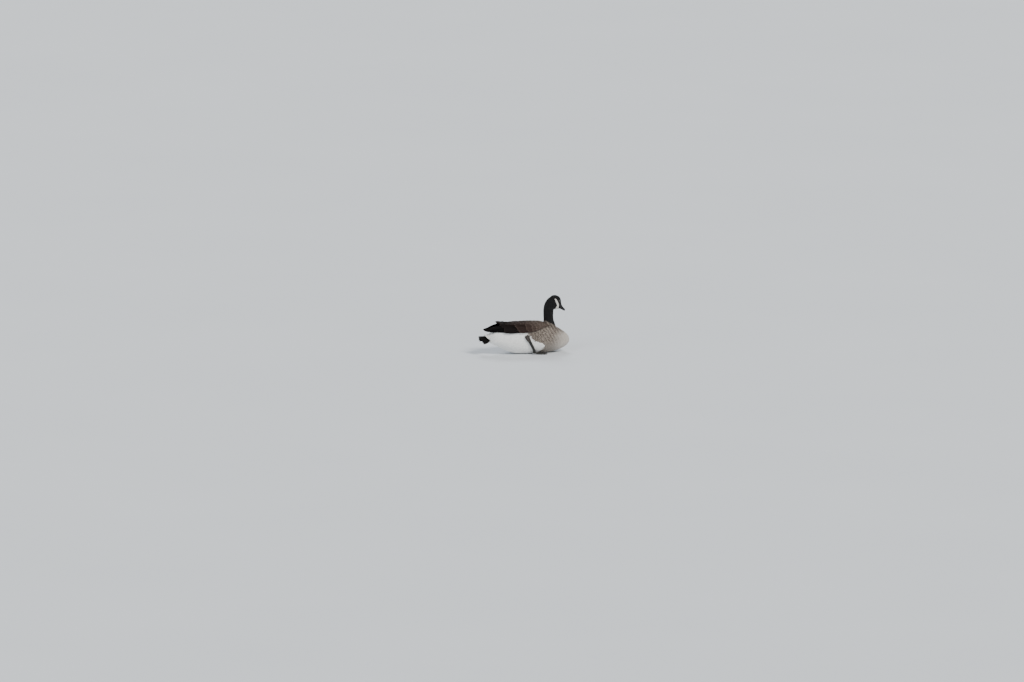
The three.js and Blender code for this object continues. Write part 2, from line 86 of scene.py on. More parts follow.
# %% Broad lights and sky
def broad_light(name, place, spread, strength, warmth):
    """A far light that fills some degrees of the sky; only the direction of its place counts."""
    bpy.ops.object.light_add(type="SUN", location=place)
    light = bpy.context.object
    light.name = name
    light.data.angle = math.radians(spread)
    light.data.energy = strength
    light.data.color = warmth
    light.rotation_mode = "QUATERNION"
    light.rotation_quaternion = (Vector(place) - Vector((0, 0, 0.15))).to_track_quat("Z", "Y")


broad_light("key", (1.6, -3.2, 3.4), 19, 2.86, (1, 0.96, 0.9))
broad_light("fill", (-3.4, -2.4, 1.8), 31, 0.87, (0.92, 0.96, 1))
broad_light("rim", (0.6, 3.2, 3.0), 24, 1.36, (0.95, 0.97, 1))
world = bpy.data.worlds.new("studio")
world.use_nodes = True
world.node_tree.nodes["Background"].inputs["Color"].default_value = (0.86, 0.9, 0.95, 1)
world.node_tree.nodes["Background"].inputs["Strength"].default_value = 0.55
bpy.context.scene.world = world

# %% [markdown]
# ## Writing materials as sums
# A mask such as "pale near the edge" is arithmetic. The small class below lets a socket be added,
# multiplied and compared in plain Python, and one method makes any other node.


# %% Socket arithmetic
class Socket:
    def __init__(self, paint, link):
        self.paint, self.link = paint, link

    def _maths(self, operation, *values):
        return self.paint.node("ShaderNodeMath", {"operation": operation}, values)

    def __add__(self, other):
        return self._maths("ADD", self, other)

    def __sub__(self, other):
        return self._maths("SUBTRACT", self, other)

    def __rsub__(self, other):
        return self._maths("SUBTRACT", other, self)

    def __mul__(self, other):
        return self._maths("MULTIPLY", self, other)

    __radd__, __rmul__ = __add__, __mul__

    def __pow__(self, other):
        return self._maths("POWER", self, other)

    def wave(self):
        return self._maths("SINE", self)

    def size(self):
        return self._maths("ABSOLUTE", self)

    def most(self, other):
        return self._maths("MAXIMUM", self, other)

    def rise(self, low, high):
        """0 below low and 1 above high, with a smooth step between."""
        settings = {"interpolation_type": "SMOOTHSTEP"}
        return self.paint.node("ShaderNodeMapRange", settings, {"Value": self, 1: low, 2: high})


class Paint:
    """A material under construction."""

    def __init__(self, name, **constants):
        self.material = bpy.data.materials.new(name)
        self.material.use_nodes = True
        self.tree = self.material.node_tree
        self.shader = self.tree.nodes["Principled BSDF"]
        for socket, value in constants.items():
            self.shader.inputs[socket.replace("_", " ")].default_value = value

    def node(self, kind, settings=None, values=(), output=0):
        made = self.tree.nodes.new(kind)
        for key, value in (settings or {}).items():
            setattr(made, key, value)
        pairs = values.items() if isinstance(values, dict) else enumerate(values)
        for key, value in pairs:
            if isinstance(value, Socket):
                self.tree.links.new(value.link, made.inputs[key])
            else:
                made.inputs[key].default_value = value
        return Socket(self, made.outputs[output])

    def blend(self, share, a, b, how="MIX"):
        """Colours a and b mixed by a share."""
        a, b = (c if isinstance(c, Socket) else (*c, 1) for c in (a, b))
        settings = {"data_type": "RGBA", "blend_type": how}
        return self.node("ShaderNodeMix", settings, {0: share, 6: a, 7: b}, output=2)

    def place(self):
        return self.node("ShaderNodeTexCoord", output=3)

    def grain(self, scale, detail=3, vector=None, roughness=0.5):
        values = {"Vector": vector or self.place(), "Scale": scale, "Detail": detail, "Roughness": roughness}
        return self.node("ShaderNodeTexNoise", {}, values)

    def attribute(self, name, output=0):
        return self.node("ShaderNodeAttribute", {"attribute_name": name}, output=output)

    def uv(self, name):
        whole = self.node("ShaderNodeUVMap", {"uv_map": name})
        parts = self.node("ShaderNodeSeparateXYZ", {}, [whole])
        outputs = parts.link.node.outputs
        return Socket(self, outputs[0]), Socket(self, outputs[1])

    def feed(self, **sockets):
        for name, value in sockets.items():
            self.tree.links.new(value.link, self.shader.inputs[name.replace("_", " ")])
        return self.material

    def bump(self, height, distance, strength=1.0):
        values = {"Height": height, "Distance": distance, "Strength": strength}
        return self.node("ShaderNodeBump", {}, values)


# %% Floor
bpy.ops.mesh.primitive_plane_add(size=120)
floor = bpy.context.object
floor.name = "floor"
paint = Paint("pale_floor", Roughness=0.85)
cloudy = paint.blend(paint.grain(0.7, 4), (0.62, 0.65, 0.68), (0.66, 0.69, 0.72))
floor.data.materials.append(paint.feed(Base_Color=cloudy))

# %% [markdown]
# ## The bird's sizes
# These rows are the ones that the solids were made from, in millimetres: sections of the body and of the
# closed wings along the bird, the neck's line, and the head in a frame of its own. Only the thigh and
# the first rows of the leg are this script's own: here the thigh runs on into the leg under feathers.

# %% Sections and lines
TORSO = np.array(
    [
        [-266, 111, 4, 114, 107],
        [-254, 110, 22, 125, 93],
        [-232, 108, 39, 141, 75],
        [-205, 106, 56, 167, 57],
        [-170, 107, 73, 187, 41],
        [-120, 106, 89, 193, 15],
        [-60, 104, 101, 196, -3],
        [20, 102, 106, 198, -7],
        [100, 99, 104, 195, -6],
        [170, 94, 95, 184, -1],
        [220, 89, 82, 165, 9],
        [260, 84, 64, 140, 24],
        [287, 80, 42, 117, 43],
        [301, 77, 19, 95, 61],
        [305, 77, 3, 80, 74],
    ]
)
WING = np.array(
    [
        [-275, 158, 22, 180, 120],
        [-240, 146, 36, 184, 110],
        [-205, 131, 56, 191, 100],
        [-190, 126, 66, 209, 97],
        [-178, 122, 71, 215, 95],
        [-150, 117, 83, 210, 90],
        [-110, 110, 98, 204, 80],
        [-50, 105, 109, 206, 70],
        [20, 103, 113, 206, 70],
        [80, 101, 110, 204, 70],
        [120, 99, 108, 201, 70],
        [152, 98, 104, 195, 70],
    ]
)
WING_EDGE = np.array(
    [[-250, 10], [-205, 15], [-160, 19], [-110, 22], [-50, 24], [20, 27], [80, 36], [120, 48], [150, 66]]
)
NECK_LINE = [
    [172, 0, 140],
    [166, 0, 190],
    [163, 0, 232],
    [164, 1, 272],
    [170, 3, 303],
    [184, 5, 327],
    [204, 7, 341],
]
NECK = np.array(
    [[0, 50, 46], [0.2, 42, 39], [0.36, 33, 32], [0.58, 30, 33], [0.76, 30, 34], [0.9, 28, 31], [1, 23, 25]]
)
HEAD = np.array(
    [
        [-50, 3, 3, 7, -1],
        [-46, 3, 13, 18, -12],
        [-34, 3, 22, 30, -26],
        [-14, 1, 25.5, 37.5, -43],
        [2, -2, 26, 39, -51],
        [16, -6, 24.5, 35, -52],
        [28, -10, 21, 25, -47],
        [37, -13, 17, 14, -39.5],
        [43, -15, 12.5, 5, -32],
        [45, -15, 3, -11, -19],
    ]
)
HEAD_AT = np.array([215, 8, 329.5])
HEAD_TURN, HEAD_NOD = math.radians(20), math.radians(29.5)
FULLNESS = 2.25
EYE = np.array([9, 19.8, 10])
EYE_RADIUS = 6.3
MOUTH = np.array([[26, -16], [48, -18.6], [74, -21.2], [96, -24.4]])
BILL = np.array(
    [
        [26, 12.5, 7, -29],
        [38, 14.5, 8.5, -32.5],
        [48, 13.8, 2, -31.5],
        [60, 12.3, -5.5, -29.8],
        [73, 11.4, -11, -28.8],
        [84, 10.8, -14.4, -28.2],
        [91, 9, -16.6, -27.6],
        [95, 5, -18.6, -26.4],
    ]
)
BILL_TIP = 97
LEG_LINE = [[-16, 84, 126], [-9, 102, 121], [-2, 106, 110], [20, 105, 72], [40, 92, 36], [47, 84, 20]]
THIGH = np.array([[0, 12, 13], [0.45, 12.8, 14.5], [0.8, 12.2, 14], [0.95, 9, 10.5], [1, 4, 5]])
LEG = np.array(
    [
        [0, 8, 9],
        [0.07, 10.5, 11.5],
        [0.16, 11.5, 12.5],
        [0.28, 9, 10.8],
        [0.6, 6.6, 9],
        [0.86, 7, 9],
        [1, 8.6, 8.6],
    ]
)


# %% Reading a table
def read(rows, column, at):
    """A column at any stations, with smooth steps and no overshoot between rows."""
    x, y = rows[:, 0], rows[:, column]
    at = np.clip(np.asarray(at, float), x[0], x[-1])
    slope = np.diff(y) / np.diff(x)
    before, after = slope[:-1], slope[1:]
    total = np.where(before + after == 0, 1, before + after)
    inner = np.where(before * after <= 0, 0, 2 * before * after / total)
    tangent = np.concatenate([[slope[0]], inner, [slope[-1]]])
    i = np.clip(np.searchsorted(x, at, side="right") - 1, 0, len(x) - 2)
    width = x[i + 1] - x[i]
    t = (at - x[i]) / width
    t2, t3 = t * t, t * t * t
    return (
        (2 * t3 - 3 * t2 + 1) * y[i]
        + (t3 - 2 * t2 + t) * width * tangent[i]
        + (3 * t2 - 2 * t3) * y[i + 1]
        + (t3 - t2) * width * tangent[i + 1]
    )


def section_point(table, x, angle, grow=0.0):
    """Points of a table's sections, turned by angle from the left over the back."""
    middle, half_width, top, bottom = (read(table, c, x) for c in (1, 2, 3, 4))
    c, s = np.cos(angle), np.sin(angle)
    power = 2 / FULLNESS
    reach = np.where(s > 0, top - middle, middle - bottom)
    y = np.sign(c) * np.abs(c) ** power * (half_width + grow)
    z = middle + np.sign(s) * np.abs(s) ** power * (reach + grow)
    return np.stack(np.broadcast_arrays(x, y, z), -1)


def mix(a, b, t):
    return a + (b - a) * t


def step(low, high, value):
    t = np.clip((value - low) / (high - low), 0, 1)
    return t * t * (3 - 2 * t)


def unit(v):
    return v / np.maximum(np.linalg.norm(v, axis=-1, keepdims=True), 1e-9)


def left_half(points):
    """Points with those of the bird's right half mirrored onto its left."""
    x, y, z = points.T
    return np.stack([x, np.abs(y), z], 1)


def smooth_line(points, count=200):
    """A Catmull-Rom line through the points, as evenly spaced stations."""
    p = np.array(points, float)
    p = np.vstack([2 * p[0] - p[1], p, 2 * p[-1] - p[-2]])
    pieces = []
    for i in range(1, len(p) - 2):
        t = np.linspace(0, 1, 30, endpoint=i == len(p) - 3)[:, None]
        a, b, c, d = p[i - 1 : i + 3]
        square, cube = 2 * a - 5 * b + 4 * c - d, 3 * b - a - 3 * c + d
        pieces.append(0.5 * (2 * b + (c - a) * t + square * t**2 + cube * t**3))
    line = np.vstack(pieces)
    run = np.concatenate([[0], np.cumsum(np.linalg.norm(np.diff(line, axis=0), axis=1))])
    even = np.linspace(0, run[-1], count)
    return np.stack([np.interp(even, run, line[:, k]) for k in range(3)], 1)


def along_path(path, i):
    """Points of an evenly spaced path at any stations i."""
    return np.stack([np.interp(i, range(len(path)), path[:, k]) for k in range(3)], -1)


HEAD_TO_BODY = Matrix.Rotation(HEAD_TURN, 3, "Z") @ Matrix.Rotation(HEAD_NOD, 3, "Y")
HEAD_AXES = np.array(HEAD_TO_BODY)


def to_body(points):
    return points @ HEAD_AXES.T + HEAD_AT


def to_head(points):
    return (points - HEAD_AT) @ HEAD_AXES


# %% [markdown]
# ## Wrapping a grid round a form
# A body, a neck, a bill or a leg is a sheet closed on itself. A grid primitive is added with as many
# cells as the form needs, its vertices are laid round the form by a rule, the seam is merged and the open
# ends are filled. That keeps even quads, which a remesh or a subdivision likes.


# %% Grid, ends and finish
def pick_only(thing):
    bpy.ops.object.select_all(action="DESELECT")
    thing.select_set(True)
    bpy.context.view_layer.objects.active = thing


def vertex_rows(thing, key="co"):
    """Places or normals of all vertices, one a row."""
    values = np.empty(len(thing.data.vertices) * 3)
    thing.data.vertices.foreach_get(key, values)
    return values.reshape(-1, 3)


def colour_vertices(thing, tones):
    layer = thing.data.color_attributes.new("Shade", "FLOAT_COLOR", "POINT")
    layer.data.foreach_set("color", np.concatenate([tones, np.ones((len(tones), 1))], 1).ravel())


def wrap(name, along, around, rule):
    """A closed form. rule(t, angle) gives points in millimetres for arrays of t from 0 to 1."""
    bpy.ops.object.select_all(action="DESELECT")
    bpy.ops.mesh.primitive_grid_add(x_subdivisions=along, y_subdivisions=around, size=1)
    thing = bpy.context.object
    thing.name = thing.data.name = name
    flat = vertex_rows(thing) + 0.5
    places = rule(flat[:, 0], flat[:, 1] * 2 * math.pi) * MM
    thing.data.vertices.foreach_set("co", places.ravel())
    bpy.ops.object.mode_set(mode="EDIT")
    bpy.ops.mesh.select_all(action="SELECT")
    bpy.ops.mesh.remove_doubles(threshold=1e-6)
    bpy.ops.mesh.fill_holes(sides=0)
    bpy.ops.mesh.select_all(action="SELECT")
    bpy.ops.mesh.normals_make_consistent(inside=False)
    bpy.ops.object.mode_set(mode="OBJECT")
    return thing


def apply(thing, kind, **settings):
    """Adds a modifier and applies it."""
    pick_only(thing)
    modifier = thing.modifiers.new(kind.title(), kind)
    for key, value in settings.items():
        setattr(modifier, key, value)
    bpy.ops.object.modifier_apply(modifier=modifier.name)


def merge(name, things):
    """Several objects joined as one."""
    bpy.ops.object.select_all(action="DESELECT")
    for thing in things:
        thing.select_set(True)
    bpy.context.view_layer.objects.active = things[0]
    bpy.ops.object.join()
    made = bpy.context.object
    made.name = made.data.name = name
    return made


def shade(thing, material):
    thing.data.materials.clear()
    thing.data.materials.append(material)
    pick_only(thing)
    bpy.ops.object.shade_smooth()


def hand_in(thing, slot, *nodes):
    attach(thing, "root")
    if nodes:
        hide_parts(*nodes)
    triangles = sum(len(p.vertices) - 2 for p in thing.data.polygons)
    print(f"{thing.name}: {triangles} triangles")


# %% [markdown]
# ## The skin
# A real bird's skin has no seams between body, neck and head, so body, wing mounds, neck and head are laid
# out as overlapping closed forms and remeshed to a single surface. It lies under the solids by the depth
# of the plumage: five millimetres on the body, less than two on the face. A slim form shows each
# millimetre that it loses, so the neck is set in least, and after smoothing its skin ends about one
# millimetre under the solid.

# %% Body, neck, head and wing mounds
BODY_COAT, NECK_COAT, HEAD_COAT, WING_COAT = 5, 0.3, 1.6, 6.5
BODY_ENDS = (TORSO[0, 0] + 8, TORSO[-1, 0] - BODY_COAT + 2)  # rear and front station of the body's skin
SKIN_VOXEL = 0.0027
SKIN_LOWEST = 1.5  # above the floor, which leaves room for the belly's feathers
THIGH_STATIONS = 38  # how much of the leg's line the feathered thigh takes up


def body_rule(t, angle):
    rear, front = BODY_ENDS
    x = mix(rear, front, (1 - np.cos(np.pi * t)) / 2)
    p = section_point(TORSO, x, angle, -BODY_COAT)
    pinch = np.minimum(x - rear, front - x)
    keep = step(0, 4, pinch)[:, None] * 0.98 + 0.02
    middle = np.stack([x, 0 * x, read(TORSO, 1, x)], -1)
    p = middle + (p - middle) * keep
    p[:, 2] = np.maximum(p[:, 2], SKIN_LOWEST)
    return p


neck_path = smooth_line(NECK_LINE)
neck_tangent = unit(np.gradient(neck_path, axis=0))


def tube_rule(path, table, grow):
    tangents = unit(np.gradient(path, axis=0))
    across = np.array([0, 1.0, 0])

    def rule(t, angle):
        i = t * (len(path) - 1)
        centre = along_path(path, i)
        ahead = unit(along_path(tangents, i))
        fore = unit(np.cross(across, ahead))
        lateral = np.cross(ahead, fore)
        wide, deep = read(table, 1, t) + grow, read(table, 2, t) + grow
        return centre + lateral * (np.cos(angle) * wide)[:, None] + fore * (np.sin(angle) * deep)[:, None]

    return rule


def head_rule(t, angle):
    x = mix(HEAD[0, 0] + 1, HEAD[-1, 0] - 1, (1 - np.cos(np.pi * t)) / 2)
    return to_body(section_point(HEAD, x, angle, -HEAD_COAT))


def wing_edge(x):
    return np.radians(read(WING_EDGE, 1, x))


def wing_point(x, share, lift, side):
    """A point on a closed wing, share of the way from its lower edge to the midline, and the way out."""
    x, share = np.broadcast_arrays(np.asarray(x, float), share)
    angle = mix(wing_edge(x), math.pi / 2, share)
    here = section_point(WING, x, angle)
    along = section_point(WING, x + 4, angle) - section_point(WING, x - 4, angle)
    round_ = section_point(WING, x, angle + 0.02) - section_point(WING, x, angle - 0.02)
    out = unit(np.cross(round_, along))
    flip = out[..., 2] * np.sin(angle) + out[..., 1] * np.cos(angle) < 0
    out = np.where(flip[..., None], -out, out)
    centre = here + out * np.asarray(lift)[..., None]
    mirror = np.array([1, side, 1])
    return centre * mirror, out * mirror


MOUND_REAR, MOUND_FRONT = (-134, -160), (132, 116)  # stations at the wing's lower edge and its top
MOUND_DEPTH = 9


def mound_rule(side):
    def rule(t, angle):
        turn = angle / math.pi
        share = np.where(turn < 1, turn, 2 - turn)
        x = mix(mix(*MOUND_REAR, share), mix(*MOUND_FRONT, share), t)
        lift = np.where(turn < 1, -WING_COAT, -WING_COAT - MOUND_DEPTH)
        return wing_point(x, share * 1.04 - 0.02, lift, side)[0]

    return rule


parts = [wrap("body", 90, 72, body_rule), wrap("neck", 50, 48, tube_rule(neck_path, NECK, -NECK_COAT))]
parts.append(wrap("head", 56, 48, head_rule))
parts += [wrap("mound_" + word, 60, 40, mound_rule(side)) for side, word in SIDES]
for side, word in SIDES:
    thigh = (smooth_line(LEG_LINE)[:THIGH_STATIONS] + [1, 0, 3]) * [1, side, 1]
    parts.append(wrap("thigh_" + word, 24, 32, tube_rule(thigh, THIGH, 0)))
skin = merge("skin", parts)
apply(skin, "REMESH", mode="VOXEL", voxel_size=SKIN_VOXEL, adaptivity=0)
apply(skin, "SMOOTH", factor=0.6, iterations=8)

# %% [markdown]
# Where the neck meets skull and body, the union leaves creases that a bird doesn't have: loose skin and
# short feathers fill them. A vertex group limits a second, longer smoothing to those regions, and with
# a third of its strength to the haunches.

# %% Nape, foot of the neck and haunches
NAPE, THROAT_FOOT, HAUNCH = (174, 4, 318), (168, 0, 196), (-14, 100, 124)
NAPE_REACH, FOOT_REACH, HAUNCH_REACH = 44, 58, 30
co = vertex_rows(skin) / MM
crease = np.exp(-((np.linalg.norm(co - NAPE, axis=1) / NAPE_REACH) ** 4))
crease = np.maximum(crease, np.exp(-((np.linalg.norm(co - THROAT_FOOT, axis=1) / FOOT_REACH) ** 4)))
haunch = np.linalg.norm(left_half(co) - HAUNCH, axis=1)
crease = np.maximum(crease, 0.35 * np.exp(-((haunch / HAUNCH_REACH) ** 4)))
group = skin.vertex_groups.new(name="crease")
for i in np.flatnonzero(crease > 0.02):
    group.add([int(i)], float(crease[i]), "REPLACE")
apply(skin, "SMOOTH", factor=0.9, iterations=60, vertex_group="crease")

# %% [markdown]
# ## Reading the skin
# Feathers are rooted on the skin and follow it, so it is asked two things over and over: which point of
# the skin lies nearest, and which way is out there. A BVH tree answers both quickly.

# %% Nearest skin
skin.data.calc_loop_triangles()
corners = vertex_rows(skin) / MM
triangles = np.empty(len(skin.data.loop_triangles) * 3, int)
skin.data.loop_triangles.foreach_get("vertices", triangles)
triangles = triangles.reshape(-1, 3)
skin_tree = BVHTree.FromPolygons(corners.tolist(), triangles.tolist())
tri_corners = corners[triangles]
tri_cross = np.cross(tri_corners[:, 1] - tri_corners[:, 0], tri_corners[:, 2] - tri_corners[:, 0])
tri_area = np.linalg.norm(tri_cross, axis=1) / 2
vertex_normals = vertex_rows(skin, "normal")


def on_skin(points):
    """The nearest skin points and the smooth normals there."""
    flat = points.reshape(-1, 3)
    places, out = np.empty_like(flat), np.empty_like(flat)
    for i, p in enumerate(flat.tolist()):
        place, _, face, _ = skin_tree.find_nearest(p)
        places[i] = place
        out[i] = vertex_normals[triangles[face]].sum(0)
    return places.reshape(points.shape), unit(out).reshape(points.shape)


print("skin", len(triangles), "triangles,", round(tri_area.sum() * 1e-6, 3), "square metres")

# %% [markdown]
# ## The lie of the feathers
# Feathers lie away from the bill: back over the skull, down the neck, out and down from the neck's foot
# over the breast, then back along body and belly. The lie is a sum of a few directions, each strong in
# its own region, laid flat on the skin.

# %% Direction field
NECK_FOOT = np.array([166, 0])


def lie(points, out):
    flat, normals = points.reshape(-1, 3), out.reshape(-1, 3)
    x, _, z = flat.T
    head = to_head(flat)
    gap = np.linalg.norm(flat[:, None] - neck_path[None, ::4], axis=2)
    down_neck = -neck_tangent[::4][gap.argmin(1)]
    on_head = step(-38, -4, head[:, 0])[:, None] * step(250, 275, z)[:, None]
    on_neck = step(192, 232, z)[:, None]
    ahead = step(110, 235, x)[:, None]
    body = np.array([-1.0, 0, 0]) * mix(1, 0.35, ahead) + np.array([0, 0, -1.0]) * mix(0.16, 1.4, ahead)
    from_neck = flat[:, :2] - NECK_FOOT
    spread = np.linalg.norm(from_neck, axis=1, keepdims=True)
    radial = np.concatenate([from_neck / np.maximum(spread, 1), np.zeros_like(spread)], 1)
    near_neck = (1 - step(35, 105, spread)) * step(130, 170, z)[:, None]
    body = mix(body, radial + np.array([0, 0, -0.5]), near_neck)
    face = -HEAD_AXES[:, 0] + np.array([0, 0, -0.55])
    way = mix(mix(body, down_neck, on_neck), face, on_head)
    way = way - normals * (way * normals).sum(1, keepdims=True)
    return unit(way).reshape(points.shape)


# %% [markdown]
# ## Markings
# The skin and its feathers ask one function for their colour, so that no gap between feathers shows a
# wrong tone. Neck and head are black, with a white strap under the chin. The breast is pale, the flanks
# are browner with pale edges, and from the legs back the bird is white. The rump is black, and a white
# band lies over the tail's root.

# %% Colours and their borders
BLACK = (0.0042, 0.004, 0.0043)
STRAP = (0.82, 0.79, 0.74)
WHITE = (0.9, 0.895, 0.87)
PALE_BREAST, BREAST_EDGE = (0.47, 0.43, 0.385), (0.62, 0.58, 0.53)
FLANK, FLANK_EDGE = (0.085, 0.067, 0.055), (0.38, 0.325, 0.27)
BAR_PITCH = 24
HEEL = np.array([-6, 112, 121])  # brown feathers end over the heel here
NECK_BORDER = (136, 207, 0.464)  # station and height behind the neck, and the fall forwards
WHITE_BORDER = np.array(
    [[0, 62], [40, 104], [55, 111], [81, 80], [88, 47], [114, 20], [160, -13], [180, -28]]
)  # height, station
STRAP_LINE = np.array(
    [[-24, 5, 4.8], [-6, -6, 6.2], [13, -19, 7.4], [21, -36, 9.6], [22, -47, 10.5]]
)  # along, up, half width
NECK_X = neck_path[np.argsort(neck_path[:, 2])][:, [2, 0]]  # height, station


def from_neck_line(p):
    """Level distances from the neck's line."""
    return np.hypot(p[:, 0] - read(NECK_X, 1, p[:, 2]), p[:, 1])


def above_border(p):
    """Heights above the slanting border where the black of the neck ends."""
    behind, height, fall = NECK_BORDER
    return p[:, 2] - (height - fall * (p[:, 0] - behind))


def before_white(p):
    """How far points lie before the white's border, below 0 in the white."""
    return p[:, 0] - read(WHITE_BORDER, 1, p[:, 2])


def strap_mask(head):
    """How white the strap is at points of the head's frame."""
    best = np.full(len(head), 9.0)
    flat = head[:, [0, 2]]
    for a, b in zip(STRAP_LINE[:-1], STRAP_LINE[1:]):
        along = b[:2] - a[:2]
        t = np.clip((flat - a[:2]) @ along / (along @ along), 0, 1)
        away = np.linalg.norm(flat - (a[:2] + t[:, None] * along), axis=1)
        best = np.minimum(best, away / mix(a[2], b[2], t))
    return step(1.08, 0.94, best) * step(272, 279, to_body(head)[:, 2])


def markings(p):
    """Base colour, edge colour and how strongly edges show, for points in millimetres."""
    x, _, z = p.T
    head = to_head(p)
    warm = step(140, 285, x) * 0.95 + step(95, 30, z) * 0.35 * step(60, 150, x)
    warm = np.clip(warm - 0.6 * step(105, 165, z), 0, 1)[:, None]
    base = mix(np.array(FLANK), np.array(PALE_BREAST), warm)
    edge = mix(np.array(FLANK_EDGE), np.array(BREAST_EDGE), warm)
    strength = mix(0.95, 0.55, warm[:, 0])
    bars = step(0.1, 0.9, np.sin((x + 0.5 * z) / BAR_PITCH * 2 * np.pi))
    barred = step(40, 90, x) * step(262, 225, x) * step(45, 80, z) * (1 - 0.5 * warm[:, 0])
    base = mix(base, edge, (0.5 * bars * barred)[:, None])

    def lay(colour, edge_colour, amount, mask):
        nonlocal base, edge, strength
        m = mask[:, None]
        base, edge = mix(base, np.array(colour), m), mix(edge, np.array(edge_colour), m)
        strength = mix(strength, amount, mask)

    lay(WHITE, (0.9, 0.9, 0.88), 0.3, step(7, -7, before_white(p)))
    heel = np.linalg.norm(left_half(p) - HEEL, axis=1)
    lay(np.array(FLANK) * 0.45, np.array(FLANK_EDGE) * 0.35, 0.8, step(21, 16, heel))
    # painted shadow: the white under the tail turns grey here, where wing and tail shade it
    painted_shadow_under_tail = step(-195, -235, x) * step(85, 120, z)
    lay((0.6, 0.6, 0.6), (0.75, 0.75, 0.74), 0.3, painted_shadow_under_tail * 0.6)
    rump = step(-120, -140, x) * step(-226, -214, x) * step(-19, -11, z - read(TORSO, 3, x))
    lay(BLACK, (0.02, 0.019, 0.018), 0.5, rump)
    near_neck = (from_neck_line(p) < 78) | (z > 252)
    dark_neck = step(-2, 3, above_border(p)) * near_neck * (x > 100)
    lay(BLACK, (0.008, 0.0075, 0.008), 0.4, dark_neck)
    lay(STRAP, (0.88, 0.86, 0.82), 0.3, strap_mask(head))
    return base, edge, strength


# %% [markdown]
# ## One vane, thousands of times
# Each feather is a closed blade: an upper and a lower face that share one rim. One modelled feather could
# be copied by an operator, but there are thousands, and each bends along its own stretch of skin. So all
# feathers of a piece are worked out as arrays and go into one mesh. Every feather carries its colours as
# attributes, its own width and length as a UV map, and in a second map a tiny patch at its root's place
# on the unrolled skin.

# %% Vane mesh
PATCH = 0.003  # width of a feather's patch on the bake map
UPPER_LOWEST, UNDER_LOWEST = 0.5, 0.2  # least heights of a vane's two faces above the floor


def blade_faces(rows, across):
    """Quads of one closed blade, and each vertex's place across and along it."""
    under = {}
    grid = [(r, a) for r in range(rows) for a in range(across)]
    inner = [(r, a) for r in range(1, rows - 1) for a in range(1, across - 1)]
    for n, key in enumerate(inner):
        under[key] = len(grid) + n
    upper = lambda r, a: r * across + a
    lower = lambda r, a: under.get((r, a), r * across + a)
    quads = []
    for r in range(rows - 1):
        for a in range(across - 1):
            quads.append([upper(r, a), upper(r, a + 1), upper(r + 1, a + 1), upper(r + 1, a)])
            quads.append([lower(r, a), lower(r + 1, a), lower(r + 1, a + 1), lower(r, a + 1)])
    return np.array(quads), np.array(grid + inner)


def vane_mesh(
    name, centre, out, half_width, spans, colours, roots, across, thickness, camber, seed, fray=0.03
):
    """centre and out are (feathers, rows, 3), half_width is (feathers, rows), in millimetres."""
    count, rows = half_width.shape
    rng = np.random.default_rng(seed)
    ahead = unit(np.gradient(centre, axis=1))
    lateral = unit(np.cross(ahead, out))
    out = np.cross(lateral, ahead)
    quads, cells = blade_faces(rows, across)
    a = np.linspace(-1, 1, across)
    ragged = 1 + rng.uniform(-fray, fray * 0.4, (count, rows, across)) * (np.abs(a) == 1)
    sweep = half_width[:, :, None] * a * ragged
    drop = -camber * half_width[:, :, None] * a**2
    body = thickness / 2 * (1 - a**4)
    rib = 0.45 * thickness * np.exp(-((a / 0.12) ** 2))
    surface = centre[:, :, None] + lateral[:, :, None] * sweep[..., None] + out[:, :, None] * drop[..., None]
    last = np.linalg.norm(centre[:, -1] - centre[:, -2], axis=1)[:, None]
    surface[:, -1] += ahead[:, -1:] * (last * rng.uniform(-0.5, 0.3, (count, across)))[..., None]
    top = surface + out[:, :, None] * (body + rib)[:, None]
    low = surface - out[:, :, None] * body[:, None]
    top[..., 2] = np.maximum(top[..., 2], UPPER_LOWEST)
    low[..., 2] = np.maximum(low[..., 2], UNDER_LOWEST)
    verts = np.concatenate([top.reshape(count, -1, 3), low[:, 1:-1, 1:-1].reshape(count, -1, 3)], 1)
    per = verts.shape[1]
    faces = (quads[None] + (np.arange(count) * per)[:, None, None]).reshape(-1, 4)
    mesh = bpy.data.meshes.new(name)
    mesh.vertices.add(count * per)
    mesh.vertices.foreach_set("co", (verts * MM).ravel())
    mesh.loops.add(faces.size)
    mesh.loops.foreach_set("vertex_index", faces.ravel())
    mesh.polygons.add(len(faces))
    mesh.polygons.foreach_set("loop_start", np.arange(len(faces)) * 4)
    mesh.update(calc_edges=True)
    mesh.polygons.foreach_set("use_smooth", np.ones(len(faces), bool))
    uv = np.stack([cells[:, 1] / (across - 1), spans[cells[:, 0]]], 1)
    spread = np.tile(uv[quads.ravel()], (count, 1))
    mesh.uv_layers.new(name="Vane").data.foreach_set("uv", spread.ravel())
    patches = np.repeat(roots, quads.size, axis=0) + (spread - 0.5) * PATCH
    mesh.uv_layers.new(name="OFBake").data.foreach_set("uv", patches.ravel())
    base, edge, strength = colours
    for key, colour, alpha in (("Shade", base, np.ones(count)), ("Edge", edge, strength)):
        layer = mesh.color_attributes.new(key, "FLOAT_COLOR", "POINT")
        rgba = np.repeat(np.concatenate([colour, alpha[:, None]], 1), per, axis=0)
        layer.data.foreach_set("color", rgba.ravel())
    thing = bpy.data.objects.new(name, mesh)
    bpy.context.collection.objects.link(thing)
    return thing


def rungs(rows):
    """Places of the rows along a vane, closer together towards its round tip."""
    return 1 - (1 - np.linspace(0, 1, rows)) ** 1.55


def contour(spans, shoulder=0.5, foot=0.3, tip=0.16):
    """Half widths along a vane as shares of the widest: a narrow foot, a broad middle, a round tip."""
    rising = mix(foot, 1, step(0, shoulder, spans))
    falling = np.sqrt(np.clip(1 - (np.maximum(spans - shoulder, 0) / (1 - shoulder)) ** 2.8, 0, 1))
    return np.where(spans < shoulder, rising, np.maximum(falling, tip))


